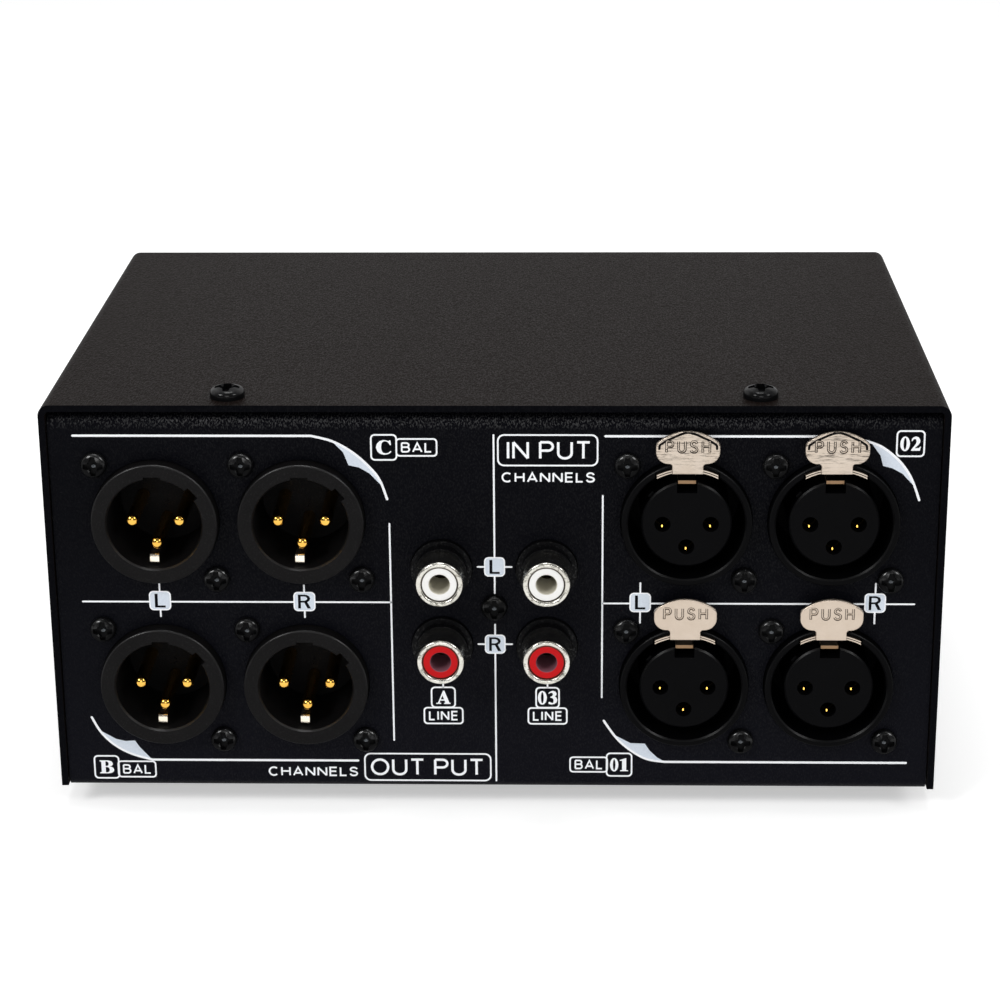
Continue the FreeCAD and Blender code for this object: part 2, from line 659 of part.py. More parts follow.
def make_chassis():
    body = new_body("chassis")
    rear = "Places.rear_face"
    front = "Places.front_wall"
    floor = "Sizes.foot_height"
    top = "Places.chassis_top"
    half = "Places.chassis_half"
    profile = draw(body, "YZ_Plane", "profile", [
        (rear, floor),
        (rear, top),
        (f"{rear} - Sizes.flange_reach", top),
        (f"{rear} - Sizes.flange_reach", f"{top} - Sizes.sheet"),
        (f"{rear} - Sizes.sheet", f"{top} - Sizes.sheet"),
        (f"{rear} - Sizes.sheet", f"{floor} + Sizes.sheet"),
        (f"{front} + Sizes.sheet", f"{floor} + Sizes.sheet"),
        (f"{front} + Sizes.sheet", f"{top} - Sizes.sheet"),
        (f"{front} + Sizes.flange_reach", f"{top} - Sizes.sheet"),
        (f"{front} + Sizes.flange_reach", top),
        (front, top),
        (front, floor),
    ], height=f"-{half}")
    folded = pad(body, profile, f"2 * {half}")
    rounded = round_lines(body, folded, ALONG_X, CHASSIS_LINES, "Places.bend_outside")
    rounded = round_lines(body, rounded, ALONG_X, CHASSIS_INNER_LINES, "Sizes.bend_inside")
    rounded = round_lines(body, rounded, ALONG_X, PANEL_LINE, "Places.panel_bend_outside")
    round_lines(body, rounded, ALONG_X, PANEL_INNER_LINE, "Sizes.panel_bend_inside")
    lip = rectangle(
        f"{front} + Sizes.lip_setback", floor,
        f"{rear} - Sizes.lip_setback", f"{floor} + Sizes.lip_height")
    for side, height in (("left_lip", f"-{half}"), ("right_lip", f"{half} - Sizes.sheet")):
        pad(body, draw(body, "YZ_Plane", side, lip, height=height), "Sizes.sheet")

    # Openings of the rear panel, cut from outside. X is turned round, seen from behind.
    holes = []
    for across, up in OUTPUTS.values():
        holes.append((across, up, "Sizes.shell_nose_radius + Sizes.socket_gap"))
    for across, up in INPUTS.values():
        holes.append((across, up, "Sizes.housing_nose_radius + Sizes.socket_gap"))
    for across, up in list(OUTPUTS.values()) + list(INPUTS.values()):
        for right, above in SCREW_SPOTS:
            holes.append((f"{across} + ({right})", f"{up} + ({above})",
                          "Sizes.small_shank_radius + Sizes.screw_gap"))
    for across, up in PHONOS.values():
        holes.append((across, up, "Sizes.phono_collar_radius + Sizes.socket_gap"))
    holes.append(("0", "Places.phono_middle_up", "Sizes.small_shank_radius + Sizes.screw_gap"))
    rear_holes = [(f"-({x})", f"Sizes.foot_height + ({z})", radius) for x, z, radius in holes]
    rear_sketch = draw_circles(body, "XZ_Plane", "rear_holes", rear_holes, height=f"-({rear} + {CLEAR})")
    pocket(body, rear_sketch, f"Sizes.sheet + 2 * {CLEAR}", along_normal=True)

    # Holes of the front wall for the control bushings and the front panel's screws.
    front_holes = []
    for across in CONTROLS.values():
        front_holes.append((across, "Places.box_middle", "Sizes.bushing_radius + Sizes.bushing_gap"))
    for across, up in panel_screw_spots():
        front_holes.append((across, up, "Sizes.case_shank_radius + Sizes.thread_gap"))
    front_holes = [(x, f"Sizes.foot_height + ({z})", radius) for x, z, radius in front_holes]
    front_sketch = draw_circles(body, "XZ_Plane", "front_holes", front_holes,
                                height=f"-({front} - {CLEAR})")
    pocket(body, front_sketch, f"Sizes.sheet + 2 * {CLEAR}")

    # Tapped holes: feet in the bottom, cover screws in the rear flange, side screws in the lips.
    tapped = "Sizes.case_shank_radius + Sizes.thread_gap"
    bottom_holes = [(x, y, tapped) for x, y in foot_spots().values()]
    bottom_sketch = draw_circles(body, "XY_Plane", "bottom_holes", bottom_holes,
                                 height=f"{floor} + Sizes.sheet + {CLEAR}")
    pocket(body, bottom_sketch, f"Sizes.sheet + 2 * {CLEAR}")
    flange_holes = [(x, y, tapped) for x, y in cover_screw_spots()]
    flange_sketch = draw_circles(body, "XY_Plane", "flange_holes", flange_holes, height=f"{top} + {CLEAR}")
    pocket(body, flange_sketch, f"Sizes.sheet + 2 * {CLEAR}")
    lip_holes = [(y, z, tapped) for y, z in side_screw_spots()]
    lip_sketch = draw_circles(body, "YZ_Plane", "lip_holes", lip_holes, height=f"{half} + {CLEAR}")
    pocket(body, lip_sketch, f"2 * {half} + 2 * {CLEAR}")
    keep(body, "chassis")


def make_top_cover():
    """Inverted U that covers the top and both sides, with countersunk holes low on the sides."""
    body = new_body("top_cover")
    half = "Places.cover_half"
    top = "Places.box_top"
    floor = "(Sizes.foot_height + Sizes.cover_lift)"
    inner = f"({half} - Sizes.sheet)"
    profile = draw(body, "XZ_Plane", "profile", [
        (f"-{half}", floor),
        (f"-{half}", top),
        (half, top),
        (half, floor),
        (inner, floor),
        (inner, f"{top} - Sizes.sheet"),
        (f"-{inner}", f"{top} - Sizes.sheet"),
        (f"-{inner}", floor),
    ], height="-Places.cover_rear")
    folded = pad(body, profile, "Sizes.box_depth")
    outer_lines = [(f"-{half}", "0", top), (half, "0", top)]
    inner_lines = [(f"-{inner}", "0", f"{top} - Sizes.sheet"), (inner, "0", f"{top} - Sizes.sheet")]
    rounded = round_lines(body, folded, ALONG_Y, outer_lines, "Places.bend_outside")
    round_lines(body, rounded, ALONG_Y, inner_lines, "Sizes.bend_inside")
    top_holes = [(x, y, "Sizes.case_shank_radius + Sizes.screw_gap") for x, y in cover_screw_spots()]
    top_sketch = draw_circles(body, "XY_Plane", "top_holes", top_holes, height=f"{top} + {CLEAR}")
    pocket(body, top_sketch, f"Sizes.sheet + 2 * {CLEAR}")
    for side, x, axis_turn in (("left", f"-{half}", 90), ("right", half, -90)):
        for i, (y, z) in enumerate(side_screw_spots(), start=1):
            cone = body.newObject("PartDesign::SubtractiveCone", f"{side}_countersink_{i}")
            cone.setExpression("Radius1", "Sizes.sunk_head_radius + Sizes.thread_gap")
            cone.setExpression("Radius2", "Sizes.case_shank_radius + Sizes.thread_gap")
            cone.setExpression("Height", "Sizes.sheet")
            place(cone, x, y, z, FreeCAD.Rotation(ALONG_Y, axis_turn))
    keep(body, "top_cover")


def make_front_panel():
    """Flat plate in front of the inner wall, just inside the cover's front edge."""
    body = new_body("front_panel")
    half = "Places.chassis_half"
    outline = draw(body, "XY_Plane", "outline", rectangle(f"-{half}", "0", half, "Places.chassis_tall"),
                   height="-Sizes.front_panel_thick")
    plate = pad(body, outline, "Sizes.front_panel_thick")
    doc.recompute()
    front_edges = edges_where(plate.Shape, lambda edge: abs(edge.BoundBox.ZMin) < 1e-6)
    dress(body, "Chamfer", "Size", "Sizes.panel_edge", plate, front_edges)
    holes = []
    for across in CONTROLS.values():
        holes.append((across, "Places.box_middle", "Sizes.bushing_radius + Sizes.bushing_gap"))
    for across, up in panel_screw_spots():
        holes.append((across, up, "Sizes.case_shank_radius + Sizes.screw_gap"))
    sketch = draw_circles(body, "XY_Plane", "holes", holes, height=CLEAR)
    pocket(body, sketch, f"Sizes.front_panel_thick + 2 * {CLEAR}")
    place_on_front(body)
    keep(body, "front_panel")


def cross_corners(kind):
    """The twelve corners of a cross recess, wider at its middle than at its tips."""
    reach = f"Sizes.{kind}_cross_reach"
    tip = f"Sizes.{kind}_cross_tip"
    root = f"Sizes.{kind}_cross_root"
    quarter = [(reach, f"-{tip}"), (reach, tip), (root, root)]
    corners = []
    for x, y in quarter:
        corners.append((x, y))
    for x, y in quarter:
        corners.append((f"-({y})", x))
    for x, y in quarter:
        corners.append((f"-({x})", f"-({y})"))
    for x, y in quarter:
        corners.append((y, f"-({x})"))
    return corners


def make_pan_screw(kind):
    """Domed screw with a cross recess: its head sits on z = 0 and its shank runs down from there."""
    body = new_body(f"{kind}_screw")
    head = f"Sizes.{kind}_head_radius"
    tall = f"Sizes.{kind}_head_height"
    shank = f"Sizes.{kind}_shank_radius"
    length = f"Sizes.{kind}_shank_length"
    lead = f"{shank} / 4"
    profile = draw(body, "XZ_Plane", "profile", [
        ("0", f"-{length}"),
        (f"{shank} - {lead}", f"-{length}"),
        (shank, f"-{length} + {lead}"),
        (shank, "0"),
        (head, "0"),
        (head, f"Places.{kind}_rim", f"Sizes.{kind}_head_edge"),
        (f"Places.{kind}_dome_edge", f"Places.{kind}_dome_start", f"Sizes.{kind}_head_dome"),
        ("0", tall),
    ])
    turn_about(body, "Revolution", profile)
    cross = draw(body, "XY_Plane", "cross", cross_corners(kind), height=tall)
    pocket(body, cross, f"Sizes.{kind}_cross_depth")
    root = f"Sizes.{kind}_cross_root"
    pit = draw(body, "XZ_Plane", "pit", [
        ("0", f"{tall} - 1.5 * Sizes.{kind}_cross_depth"),
        (f"2 * {root}", tall),
        (f"2 * {root}", f"{tall} + {CLEAR}"),
        ("0", f"{tall} + {CLEAR}"),
    ])
    turn_about(body, "Groove", pit)
    return body


def make_sunk_screw():
    """Countersunk screw: the flat of its head is at z = 0."""
    body = new_body("sunk_screw")
    shank = "Sizes.case_shank_radius"
    lead = f"{shank} / 4"
    profile = draw(body, "XZ_Plane", "profile", [
        ("0", "-Sizes.case_shank_length"),
        (f"{shank} - {lead}", "-Sizes.case_shank_length"),
        (shank, f"-Sizes.case_shank_length + {lead}"),
        (shank, "-Sizes.sheet"),
        ("Sizes.sunk_head_radius", "0"),
        ("0", "0"),
    ])
    turn_about(body, "Revolution", profile)
    cross = draw(body, "XY_Plane", "cross", cross_corners("sunk"), height="0")
    pocket(body, cross, "Sizes.sunk_cross_depth")
    return body


def make_case_screws():
    pan = make_pan_screw("case")
    sunk = make_sunk_screw()
    group("cover_top_screws", pan, [(x, y, "Places.box_top", UPRIGHT) for x, y in cover_screw_spots()])
    group("front_panel_screws", pan, [front_spot(x, up) for x, up in panel_screw_spots()])
    group("foot_screws", pan,
          [(x, y, "Sizes.foot_recess_depth", UPSIDE_DOWN) for x, y in foot_spots().values()])
    side_links = []
    for x, axis_turn in (("-Places.cover_half", -90), ("Places.cover_half", 90)):
        for y, z in side_screw_spots():
            side_links.append((x, y, z, FreeCAD.Rotation(ALONG_Y, axis_turn)))
    group("cover_side_screws", sunk, side_links)


def make_feet():
    """Tapered rubber feet, hollowed below for the screw's head."""
    for name, (x, y) in foot_spots().items():
        body = new_body(name)
        bore = "Sizes.case_shank_radius + Sizes.screw_gap"
        profile = draw(body, "XZ_Plane", "profile", [
            ("Sizes.foot_recess_radius", "0"),
            ("Sizes.foot_base_radius", "0"),
            ("Sizes.foot_top_radius", "Sizes.foot_height"),
            (bore, "Sizes.foot_height"),
            (bore, "Sizes.foot_recess_depth"),
            ("Sizes.foot_recess_radius", "Sizes.foot_recess_depth"),
        ])
        turn_about(body, "Revolution", profile)
        place(body, x, y, "0")
        keep(body, name)


def make_flange(body):
    """Square mounting flange of a balanced socket, against the back of the panel."""
    outline = centred("Sizes.flange_width", "Sizes.flange_tall")
    pad(body, draw(body, "XY_Plane", "flange", outline, height="Places.flange_back"), "Sizes.flange_thick")


def cut_flange_holes(body):
    """Tapped holes for the two socket screws."""
    circles = [(x, y, "Sizes.small_shank_radius + Sizes.thread_gap") for x, y in SCREW_SPOTS]
    sketch = draw_circles(body, "XY_Plane", "screw_holes", circles, height="0")
    pocket(body, sketch, f"-Places.flange_back + {CLEAR}")


def make_output_shell(name, across, up):
    """Round shell of a socket with pins, fixed from behind through the panel."""
    body = new_body(f"{name}_shell")
    nose = "Sizes.shell_nose_radius"
    front = "Sizes.shell_proud"
    bore = "Sizes.shell_bore_radius"
    floor = "Places.shell_bore_floor"
    make_flange(body)
    outside = draw(body, "XZ_Plane", "outside", [
        ("0", "-Sizes.board_depth"),
        ("Sizes.shell_barrel_radius", "-Sizes.board_depth"),
        ("Sizes.shell_barrel_radius", "Places.flange_back"),
        (nose, "Places.flange_back"),
        (nose, f"{front} - Sizes.nose_edge", "Sizes.nose_edge"),
        (f"{nose} - Sizes.nose_edge", front),
        ("0", front),
    ])
    turn_about(body, "Revolution", outside)
    inside = draw(body, "XZ_Plane", "inside", [
        ("0", floor),
        (bore, floor),
        (bore, f"{front} - Sizes.shell_lead_in"),
        ("Sizes.shell_mouth_radius", front),
        ("Sizes.shell_mouth_radius", f"{front} + {CLEAR}"),
        ("0", f"{front} + {CLEAR}"),
    ])
    turn_about(body, "Groove", inside)
    behind = draw(body, "XZ_Plane", "behind", [
        ("0", f"-Sizes.board_depth - {CLEAR}"),
        (bore, f"-Sizes.board_depth - {CLEAR}"),
        (bore, f"{floor} - Sizes.shell_floor"),
        ("0", f"{floor} - Sizes.shell_floor"),
    ])
    turn_about(body, "Groove", behind)
    key = draw(body, "XY_Plane", "key", rectangle(
        f"{bore} / 2", "-Sizes.key_width / 2", f"{bore} + Sizes.key_depth", "Sizes.key_width / 2"),
        height=front, turn=number("Sizes.key_angle"))
    pocket(body, key, "Sizes.shell_bore_depth")
    catch = draw(body, "XY_Plane", "catch", rectangle(
        "-Sizes.catch_width / 2", f"{bore} / 2", "Sizes.catch_width / 2", f"{bore} + Sizes.catch_depth"),
        height=front)
    pocket(body, catch, "Sizes.catch_length")
    pin_holes = [(x, y, "Sizes.pin_radius + Sizes.fit_gap") for x, y in CONTACT_SPOTS]
    pocket(body, draw_circles(body, "XY_Plane", "pin_holes", pin_holes, height=f"{floor} + {CLEAR}"),
           f"Sizes.shell_floor + 2 * {CLEAR}")
    cut_flange_holes(body)
    place_on_rear(body, across, up)
    keep(body, f"{name}_shell")


def make_pin():
    """Gold pin with a rounded tip and a thinner tail that goes through the board."""
    body = new_body("pin")
    round_off = "Sizes.pin_tip_round"
    profile = draw(body, "XZ_Plane", "profile", [
        ("0", "Places.tail_end"),
        ("Sizes.tail_radius", "Places.tail_end"),
        ("Sizes.tail_radius", "Places.shell_bore_floor - Sizes.shell_floor"),
        ("Sizes.pin_radius", "Places.shell_bore_floor - Sizes.shell_floor"),
        ("Sizes.pin_radius", f"Places.pin_tip - {round_off}", round_off),
        (f"Sizes.pin_radius - {round_off}", "Places.pin_tip"),
        ("0", "Places.pin_tip"),
    ])
    turn_about(body, "Revolution", profile)
    return body


def make_tongue():
    """Ground tongue on the bore's lower wall, its front end folded over."""
    body = new_body("tongue")
    low = "(Sizes.fit_gap - sqrt(Sizes.shell_bore_radius^2"
    low += " - (Sizes.tongue_width / 2 - Sizes.tongue_across)^2))"
    high = f"{low} + Sizes.tongue_tall"
    front = "Sizes.shell_proud - Sizes.tongue_setback"
    round_off = "Sizes.tongue_round"
    profile = draw(body, "YZ_Plane", "profile", [
        (low, "Places.shell_bore_floor"),
        (f"{low} + Sizes.tongue_tall / 2", "Places.shell_bore_floor"),
        (high, f"{front} - 3 * {round_off}"),
        (high, f"{front} - {round_off}", round_off),
        (f"{high} - {round_off}", front),
        (f"{low} + {round_off}", front, round_off),
        (low, f"{front} - {round_off}"),
    ], height="Sizes.tongue_across - Sizes.tongue_width / 2")
    pad(body, profile, "Sizes.tongue_width")
    return body


def make_input_housing(name, across, up):
    """Round housing of a socket with a latch: the plug's barrel slides into its bore."""
    body = new_body(f"{name}_housing")
    nose = "Sizes.housing_nose_radius"
    front = "Sizes.housing_proud"
    bore = "Sizes.housing_bore_radius"
    hole = "Sizes.insert_radius + Sizes.insert_gap"
    make_flange(body)
    outside = draw(body, "XZ_Plane", "outside", [
        ("0", "-Sizes.board_depth"),
        (nose, "-Sizes.board_depth"),
        (nose, f"{front} - Sizes.nose_edge", "Sizes.nose_edge"),
        (f"{nose} - Sizes.nose_edge", front),
        ("0", front),
    ])
    turn_about(body, "Revolution", outside)
    inside = draw(body, "XZ_Plane", "inside", [
        ("0", "-Sizes.groove_floor_depth"),
        (bore, "-Sizes.groove_floor_depth"),
        (bore, f"{front} - Sizes.housing_lead_in"),
        ("Sizes.housing_mouth_radius", front),
        ("Sizes.housing_mouth_radius", f"{front} + {CLEAR}"),
        ("0", f"{front} + {CLEAR}"),
    ])
    turn_about(body, "Groove", inside)
    behind = draw(body, "XZ_Plane", "behind", [
        ("0", f"-Sizes.board_depth - {CLEAR}"),
        (bore, f"-Sizes.board_depth - {CLEAR}"),
        (bore, "Places.groove_back"),
        (hole, "Places.groove_back"),
        (hole, f"-Sizes.groove_floor_depth + {CLEAR}"),
        ("0", f"-Sizes.groove_floor_depth + {CLEAR}"),
    ])
    turn_about(body, "Groove", behind)
    # Arched recess in the top of the wall, where the latch's leaf runs.
    arch = "(Sizes.leaf_arch_radius + Sizes.recess_gap)"
    half = "(Sizes.leaf_width / 2 + Sizes.recess_gap)"
    shoulder = f"Places.leaf_arch_middle + sqrt({arch}^2 - {half}^2)"
    recess = draw(body, "XY_Plane", "recess", [
        (f"-{half}", "Sizes.insert_notch_floor"),
        (half, "Sizes.insert_notch_floor"),
        (half, shoulder, arch),
        (f"-{half}", shoulder),
    ], height=f"{front} + {CLEAR}")
    pocket(body, recess, f"{front} + Sizes.board_depth + 2 * {CLEAR}")
    pivot = [("Sizes.pivot_up", "-Places.pivot_depth", "Sizes.pivot_radius + Sizes.pivot_gap")]
    pocket(body, draw_circles(body, "YZ_Plane", "pivot", pivot, height=nose), f"2 * {nose}")
    cut_flange_holes(body)
    place_on_rear(body, across, up)
    keep(body, f"{name}_housing")


def make_input_insert(name, across, up):
    """Round insert with three contact holes and a notch on top for the latch's strip."""
    body = new_body(f"{name}_insert")
    radius = "Sizes.insert_radius"
    front = "Sizes.insert_proud"
    flange = "Sizes.housing_bore_radius - Sizes.insert_flange_gap"
    profile = draw(body, "XZ_Plane", "profile", [
        ("0", "-Sizes.board_depth"),
        (flange, "-Sizes.board_depth"),
        (flange, "Places.groove_back"),
        (radius, "Places.groove_back"),
        (radius, f"{front} - Sizes.insert_edge"),
        (f"{radius} - Sizes.insert_edge", front),
        ("0", front),
    ])
    turn_about(body, "Revolution", profile)
    holes = [(x, y, "Sizes.socket_hole_radius") for x, y in CONTACT_SPOTS]
    pocket(body, draw_circles(body, "XY_Plane", "contact_holes", holes, height=f"{front} + {CLEAR}"),
           f"{front} + Sizes.board_depth + 2 * {CLEAR}")
    notch = draw(body, "XY_Plane", "notch", rectangle(
        "-Sizes.insert_notch_width / 2", "Sizes.insert_notch_floor",
        "Sizes.insert_notch_width / 2", f"{radius} + {CLEAR}"), height=f"{front} + {CLEAR}")
    pocket(body, notch, f"{front} + Sizes.board_depth + 2 * {CLEAR}")
    half = "(Sizes.leaf_width / 2 + Sizes.recess_gap)"
    wide_notch = draw(body, "XY_Plane", "wide_notch", rectangle(
        f"-{half}", "Sizes.insert_notch_floor", half, "Sizes.housing_bore_radius"),
        height="Places.groove_back")
    pocket(body, wide_notch, f"Sizes.board_depth + Places.groove_back + {CLEAR}")
    # Key rib along the insert, on the side that faces the plug's own keyway.
    rib_low = "(Sizes.insert_gap - Sizes.groove_floor_depth)"
    rib = draw(body, "XY_Plane", "rib", rectangle(
        f"{radius} - 2 * Sizes.insert_rib_height", "-Sizes.insert_rib_width / 2",
        f"{radius} + Sizes.insert_rib_height", "Sizes.insert_rib_width / 2"),
        height=rib_low, turn=180 - number("Sizes.key_angle"))
    pad(body, rib, f"{front} - Sizes.insert_rib_setback - {rib_low}")
    place_on_rear(body, across, up)
    keep(body, f"{name}_insert")


def make_socket_contact():
    """Gold tube that takes a plug's pin, with a tail that goes through the board."""
    body = new_body("socket_contact")
    bore = "Places.contact_radius - Sizes.contact_wall"
    floor = "Places.contact_front - Sizes.contact_length"
    closed = f"{floor} - Sizes.contact_wall"
    profile = draw(body, "XZ_Plane", "profile", [
        ("0", "Places.tail_end"),
        ("Sizes.tail_radius", "Places.tail_end"),
        ("Sizes.tail_radius", closed),
        ("Places.contact_radius", closed),
        ("Places.contact_radius", "Places.contact_front"),
        (bore, "Places.contact_front"),
        (bore, floor),
        ("0", floor),
    ])
    turn_about(body, "Revolution", profile)
    return body


def make_latch(name, across, up):
    """Press-to-release latch of one bent plate: tab, neck, arched leaf, pivot, strip and tooth."""
    body = new_body(f"{name}_latch")
    front = "Places.latch_front"
    half_tab = "Sizes.tab_width / 2"
    half_neck = "Sizes.neck_width / 2"
    neck_low = "Places.leaf_under - Sizes.neck_drop"
    tab = draw(body, "XY_Plane", "tab", [
        (f"-{half_neck}", neck_low),
        (half_neck, neck_low),
        (half_neck, "Sizes.tab_bottom"),
        (half_tab, "Sizes.tab_bottom"),
        (half_tab, "Sizes.tab_shoulder", "Sizes.tab_crown_radius"),
        (f"-{half_tab}", "Sizes.tab_shoulder"),
        (f"-{half_tab}", "Sizes.tab_bottom"),
        (f"-{half_neck}", "Sizes.tab_bottom"),
    ], height=front)
    plate = pad(body, tab, "Sizes.tab_thick")
    lower = [(half_tab, "Sizes.tab_bottom", "0"), (f"-{half_tab}", "Sizes.tab_bottom", "0")]
    upper = [(half_tab, "Sizes.tab_shoulder", "0"), (f"-{half_tab}", "Sizes.tab_shoulder", "0")]
    neck = [(half_neck, "Sizes.tab_bottom", "0"), (f"-{half_neck}", "Sizes.tab_bottom", "0")]
    plate = round_lines(body, plate, ALONG_Z, lower, "Sizes.tab_bottom_round")
    plate = round_lines(body, plate, ALONG_Z, upper, "Sizes.tab_top_round")
    plate = round_lines(body, plate, ALONG_Z, neck, "Sizes.neck_round")
    doc.recompute()
    face_height = number(f"{front} + Sizes.tab_thick")
    face_edges = edges_where(plate.Shape, lambda edge: abs(edge.BoundBox.ZMin - face_height) < 1e-6)
    dress(body, "Fillet", "Radius", "Sizes.tab_face_round", plate, face_edges)

    arch ="Sizes.leaf_arch_radius"
    under_arch = "(Sizes.leaf_arch_radius - Sizes.leaf_thick)"
    half_leaf = "(Sizes.leaf_width / 2)"
    leaf_shoulder = f"Places.leaf_arch_middle + sqrt({arch}^2 - {half_leaf}^2)"
    under_shoulder = f"Places.leaf_arch_middle + sqrt({under_arch}^2 - {half_leaf}^2)"
    leaf = draw(body, "XY_Plane", "leaf", [
        (half_leaf, under_shoulder),
        (half_leaf, leaf_shoulder, arch),
        (f"-{half_leaf}", leaf_shoulder),
        (f"-{half_leaf}", under_shoulder, f"-{under_arch}"),
    ], height="Places.leaf_back")
    pad(body, leaf, f"{front} - Places.leaf_back")

    pivot = [("Sizes.pivot_up", "-Places.pivot_depth", "Sizes.pivot_radius")]
    pad(body,draw_circles(body, "YZ_Plane", "pivot", pivot, height="-Sizes.pivot_half_width"),
        "2 * Sizes.pivot_half_width")

    # Bridge down from the leaf, strip forward in the insert's notch, and the tooth on top of it.
    strip_low = "(Sizes.strip_top - Sizes.strip_thick)"
    half_strip = "Sizes.strip_width / 2"
    bridge_high = "Places.leaf_under + Sizes.leaf_thick / 2"
    tooth_back ="(Places.tooth_front - Sizes.tooth_length)"
    hook = draw(body, "YZ_Plane", "hook", [
        (strip_low, "Places.leaf_back"),
        (bridge_high, "Places.leaf_back"),
        (bridge_high, "Places.leaf_back + Sizes.strip_thick"),
        ("Sizes.strip_top", "Places.leaf_back + Sizes.strip_thick"),
        ("Sizes.strip_top", tooth_back),
        ("Sizes.tooth_top", tooth_back),
        ("Sizes.tooth_top", f"{tooth_back} + Sizes.strip_thick"),
        ("Sizes.strip_top", "Places.tooth_front"),
        ("Sizes.strip_top", "Places.strip_front"),
        (strip_low, "Places.strip_front"),
    ], height=f"-{half_strip}")
    pad(body, hook, "Sizes.strip_width")
    place_on_rear(body, across, up)
    keep(body, f"{name}_latch")


def phono_circles(radius):
    return [(x, f"{y} - Places.phono_middle_up", radius) for x, y in PHONOS.values()]


def make_phono_block():
    """Moulded block between the panel and the board that carries four phono jacks."""
    body = new_body("phono_block")
    wide = "Sizes.phono_block_width"
    tall = "Sizes.phono_block_tall"
    outline = draw(body, "XY_Plane", "outline", centred(wide, tall), height="Places.phono_block_back")
    pad(body, outline, "-Sizes.sheet - Places.phono_block_back")
    collars = draw_circles(body, "XY_Plane", "collars", phono_circles("Sizes.phono_collar_radius"),
                           height="-Sizes.sheet")
    pad(body, collars, "Sizes.sheet + Sizes.phono_collar_proud")
    steps = draw_circles(body, "XY_Plane", "steps", phono_circles("Sizes.phono_step_radius"),
                         height="Sizes.phono_collar_proud")
    pad(body, steps, "Sizes.phono_step_proud - Sizes.phono_collar_proud")
    bores = draw_circles(body, "XY_Plane", "bores", phono_circles("Places.phono_bore_radius"),
                         height=f"Sizes.phono_step_proud + {CLEAR}")
    pocket(body, bores, f"Sizes.phono_step_proud - Places.phono_block_back + 2 * {CLEAR}")
    screw = [("0", "0", "Sizes.small_shank_radius + Sizes.thread_gap")]
    pocket(body, draw_circles(body, "XY_Plane", "screw_hole", screw, height="0"),
           "Sizes.sheet + Sizes.small_shank_length")
    place_on_rear(body, "0", "Places.phono_middle_up")
    keep(body, "phono_block")


def make_phono_sleeve(name, across, up):
    """Nickel sleeve with a rounded lip: a thinner root fills the block's bore up to a shoulder."""
    body = new_body(f"{name}_sleeve")
    radius = "Sizes.phono_radius"
    bore = "Sizes.phono_radius - Sizes.phono_wall"
    root = "Sizes.phono_root_radius"
    lip = "Sizes.phono_lip"
    reach = "Sizes.phono_reach"
    profile = draw(body, "XZ_Plane", "profile", [
        (bore, "Places.phono_block_back"),
        (root, "Places.phono_block_back"),
        (root, "Places.phono_shoulder"),
        (radius, "Places.phono_shoulder"),
        (radius, f"{reach} - {lip}", lip),
        (f"{radius} - {lip}", reach),
        (f"{bore} + {lip}", reach, lip),
        (bore, f"{reach} - {lip}"),
    ])
    turn_about(body, "Revolution", profile)
    place_on_rear(body, across, up)
    keep(body, f"{name}_sleeve")


def make_insulator():
    """Coloured insulator inside a phono sleeve, with the hole for the plug's centre pin."""
    body = new_body("insulator")
    edge = "Sizes.insulator_setback"
    front = "Sizes.phono_reach - Sizes.insulator_setback"
    profile = draw(body, "XZ_Plane", "profile", [
        ("Sizes.plug_hole_radius", "Places.phono_block_back"),
        ("Places.insulator_radius", "Places.phono_block_back"),
        ("Places.insulator_radius", f"{front} - {edge}", edge),
        (f"Places.insulator_radius - {edge}", front),
        (f"Sizes.plug_hole_radius + {edge}", front, edge),
        ("Sizes.plug_hole_radius", f"{front} - {edge}"),
    ])
    turn_about(body, "Revolution", profile)
    return body


def make_centre_contact():
    """Centre contact of a phono jack: a tube for the plug's pin, with a tail through the board."""
    body = new_body("centre_contact")
    radius = "Sizes.plug_hole_radius - Sizes.fit_gap"
    bore = f"{radius} - Sizes.centre_contact_wall"
    front = "Sizes.phono_reach - Sizes.centre_contact_setback"
    back = "Places.phono_block_back"
    profile = draw(body, "XZ_Plane", "profile", [
        ("0", "Places.tail_end"),
        ("Sizes.tail_radius", "Places.tail_end"),
        ("Sizes.tail_radius", back),
        (radius, back),
        (radius, front),
        (bore, front),
        (bore, f"{back} + Sizes.centre_contact_wall"),
        ("0", f"{back} + Sizes.centre_contact_wall"),
    ])
    turn_about(body, "Revolution", profile)
    return body


def contact_places(sockets):
    """Every contact of a set of balanced sockets, in the rear panel's frame."""
    spots = []
    for across, up in sockets.values():
        for right, above in CONTACT_SPOTS:
            spots.append((f"{across} + ({right})", f"{up} + ({above})"))
    return spots


def make_rear_board():
    """Board on which all rear sockets stand, with a hole for each of their tails."""
    body = new_body("rear_board")
    outline = rectangle("-Places.board_half", "Places.board_low", "Places.board_half", "Places.board_high")
    pad(body,draw(body, "XY_Plane", "outline", outline, height="Places.board_back"), "Sizes.board_thick")
    tails = contact_places(OUTPUTS) + contact_places(INPUTS) + list(PHONOS.values())
    circles = [(x, y, "Sizes.tail_radius + Sizes.tail_gap") for x, y in tails]
    sketch = draw_circles(body, "XY_Plane", "tail_holes", circles, height=f"-Sizes.board_depth + {CLEAR}")
    pocket(body, sketch, f"Sizes.board_thick + 2 * {CLEAR}")
    place_on_rear(body)
    keep(body, "rear_board")


def make_front_board():
    """Board behind the potentiometer and the two rotary switches."""
    body = new_body("front_board")
    outline = draw(body, "XY_Plane", "outline", rectangle(
        "-Places.front_board_half", "Places.front_board_low",
        "Places.front_board_half", "Places.front_board_high"), height="Places.front_board_back")
    pad(body, outline, "Sizes.board_thick")
    place_on_front(body)
    keep(body, "front_board")


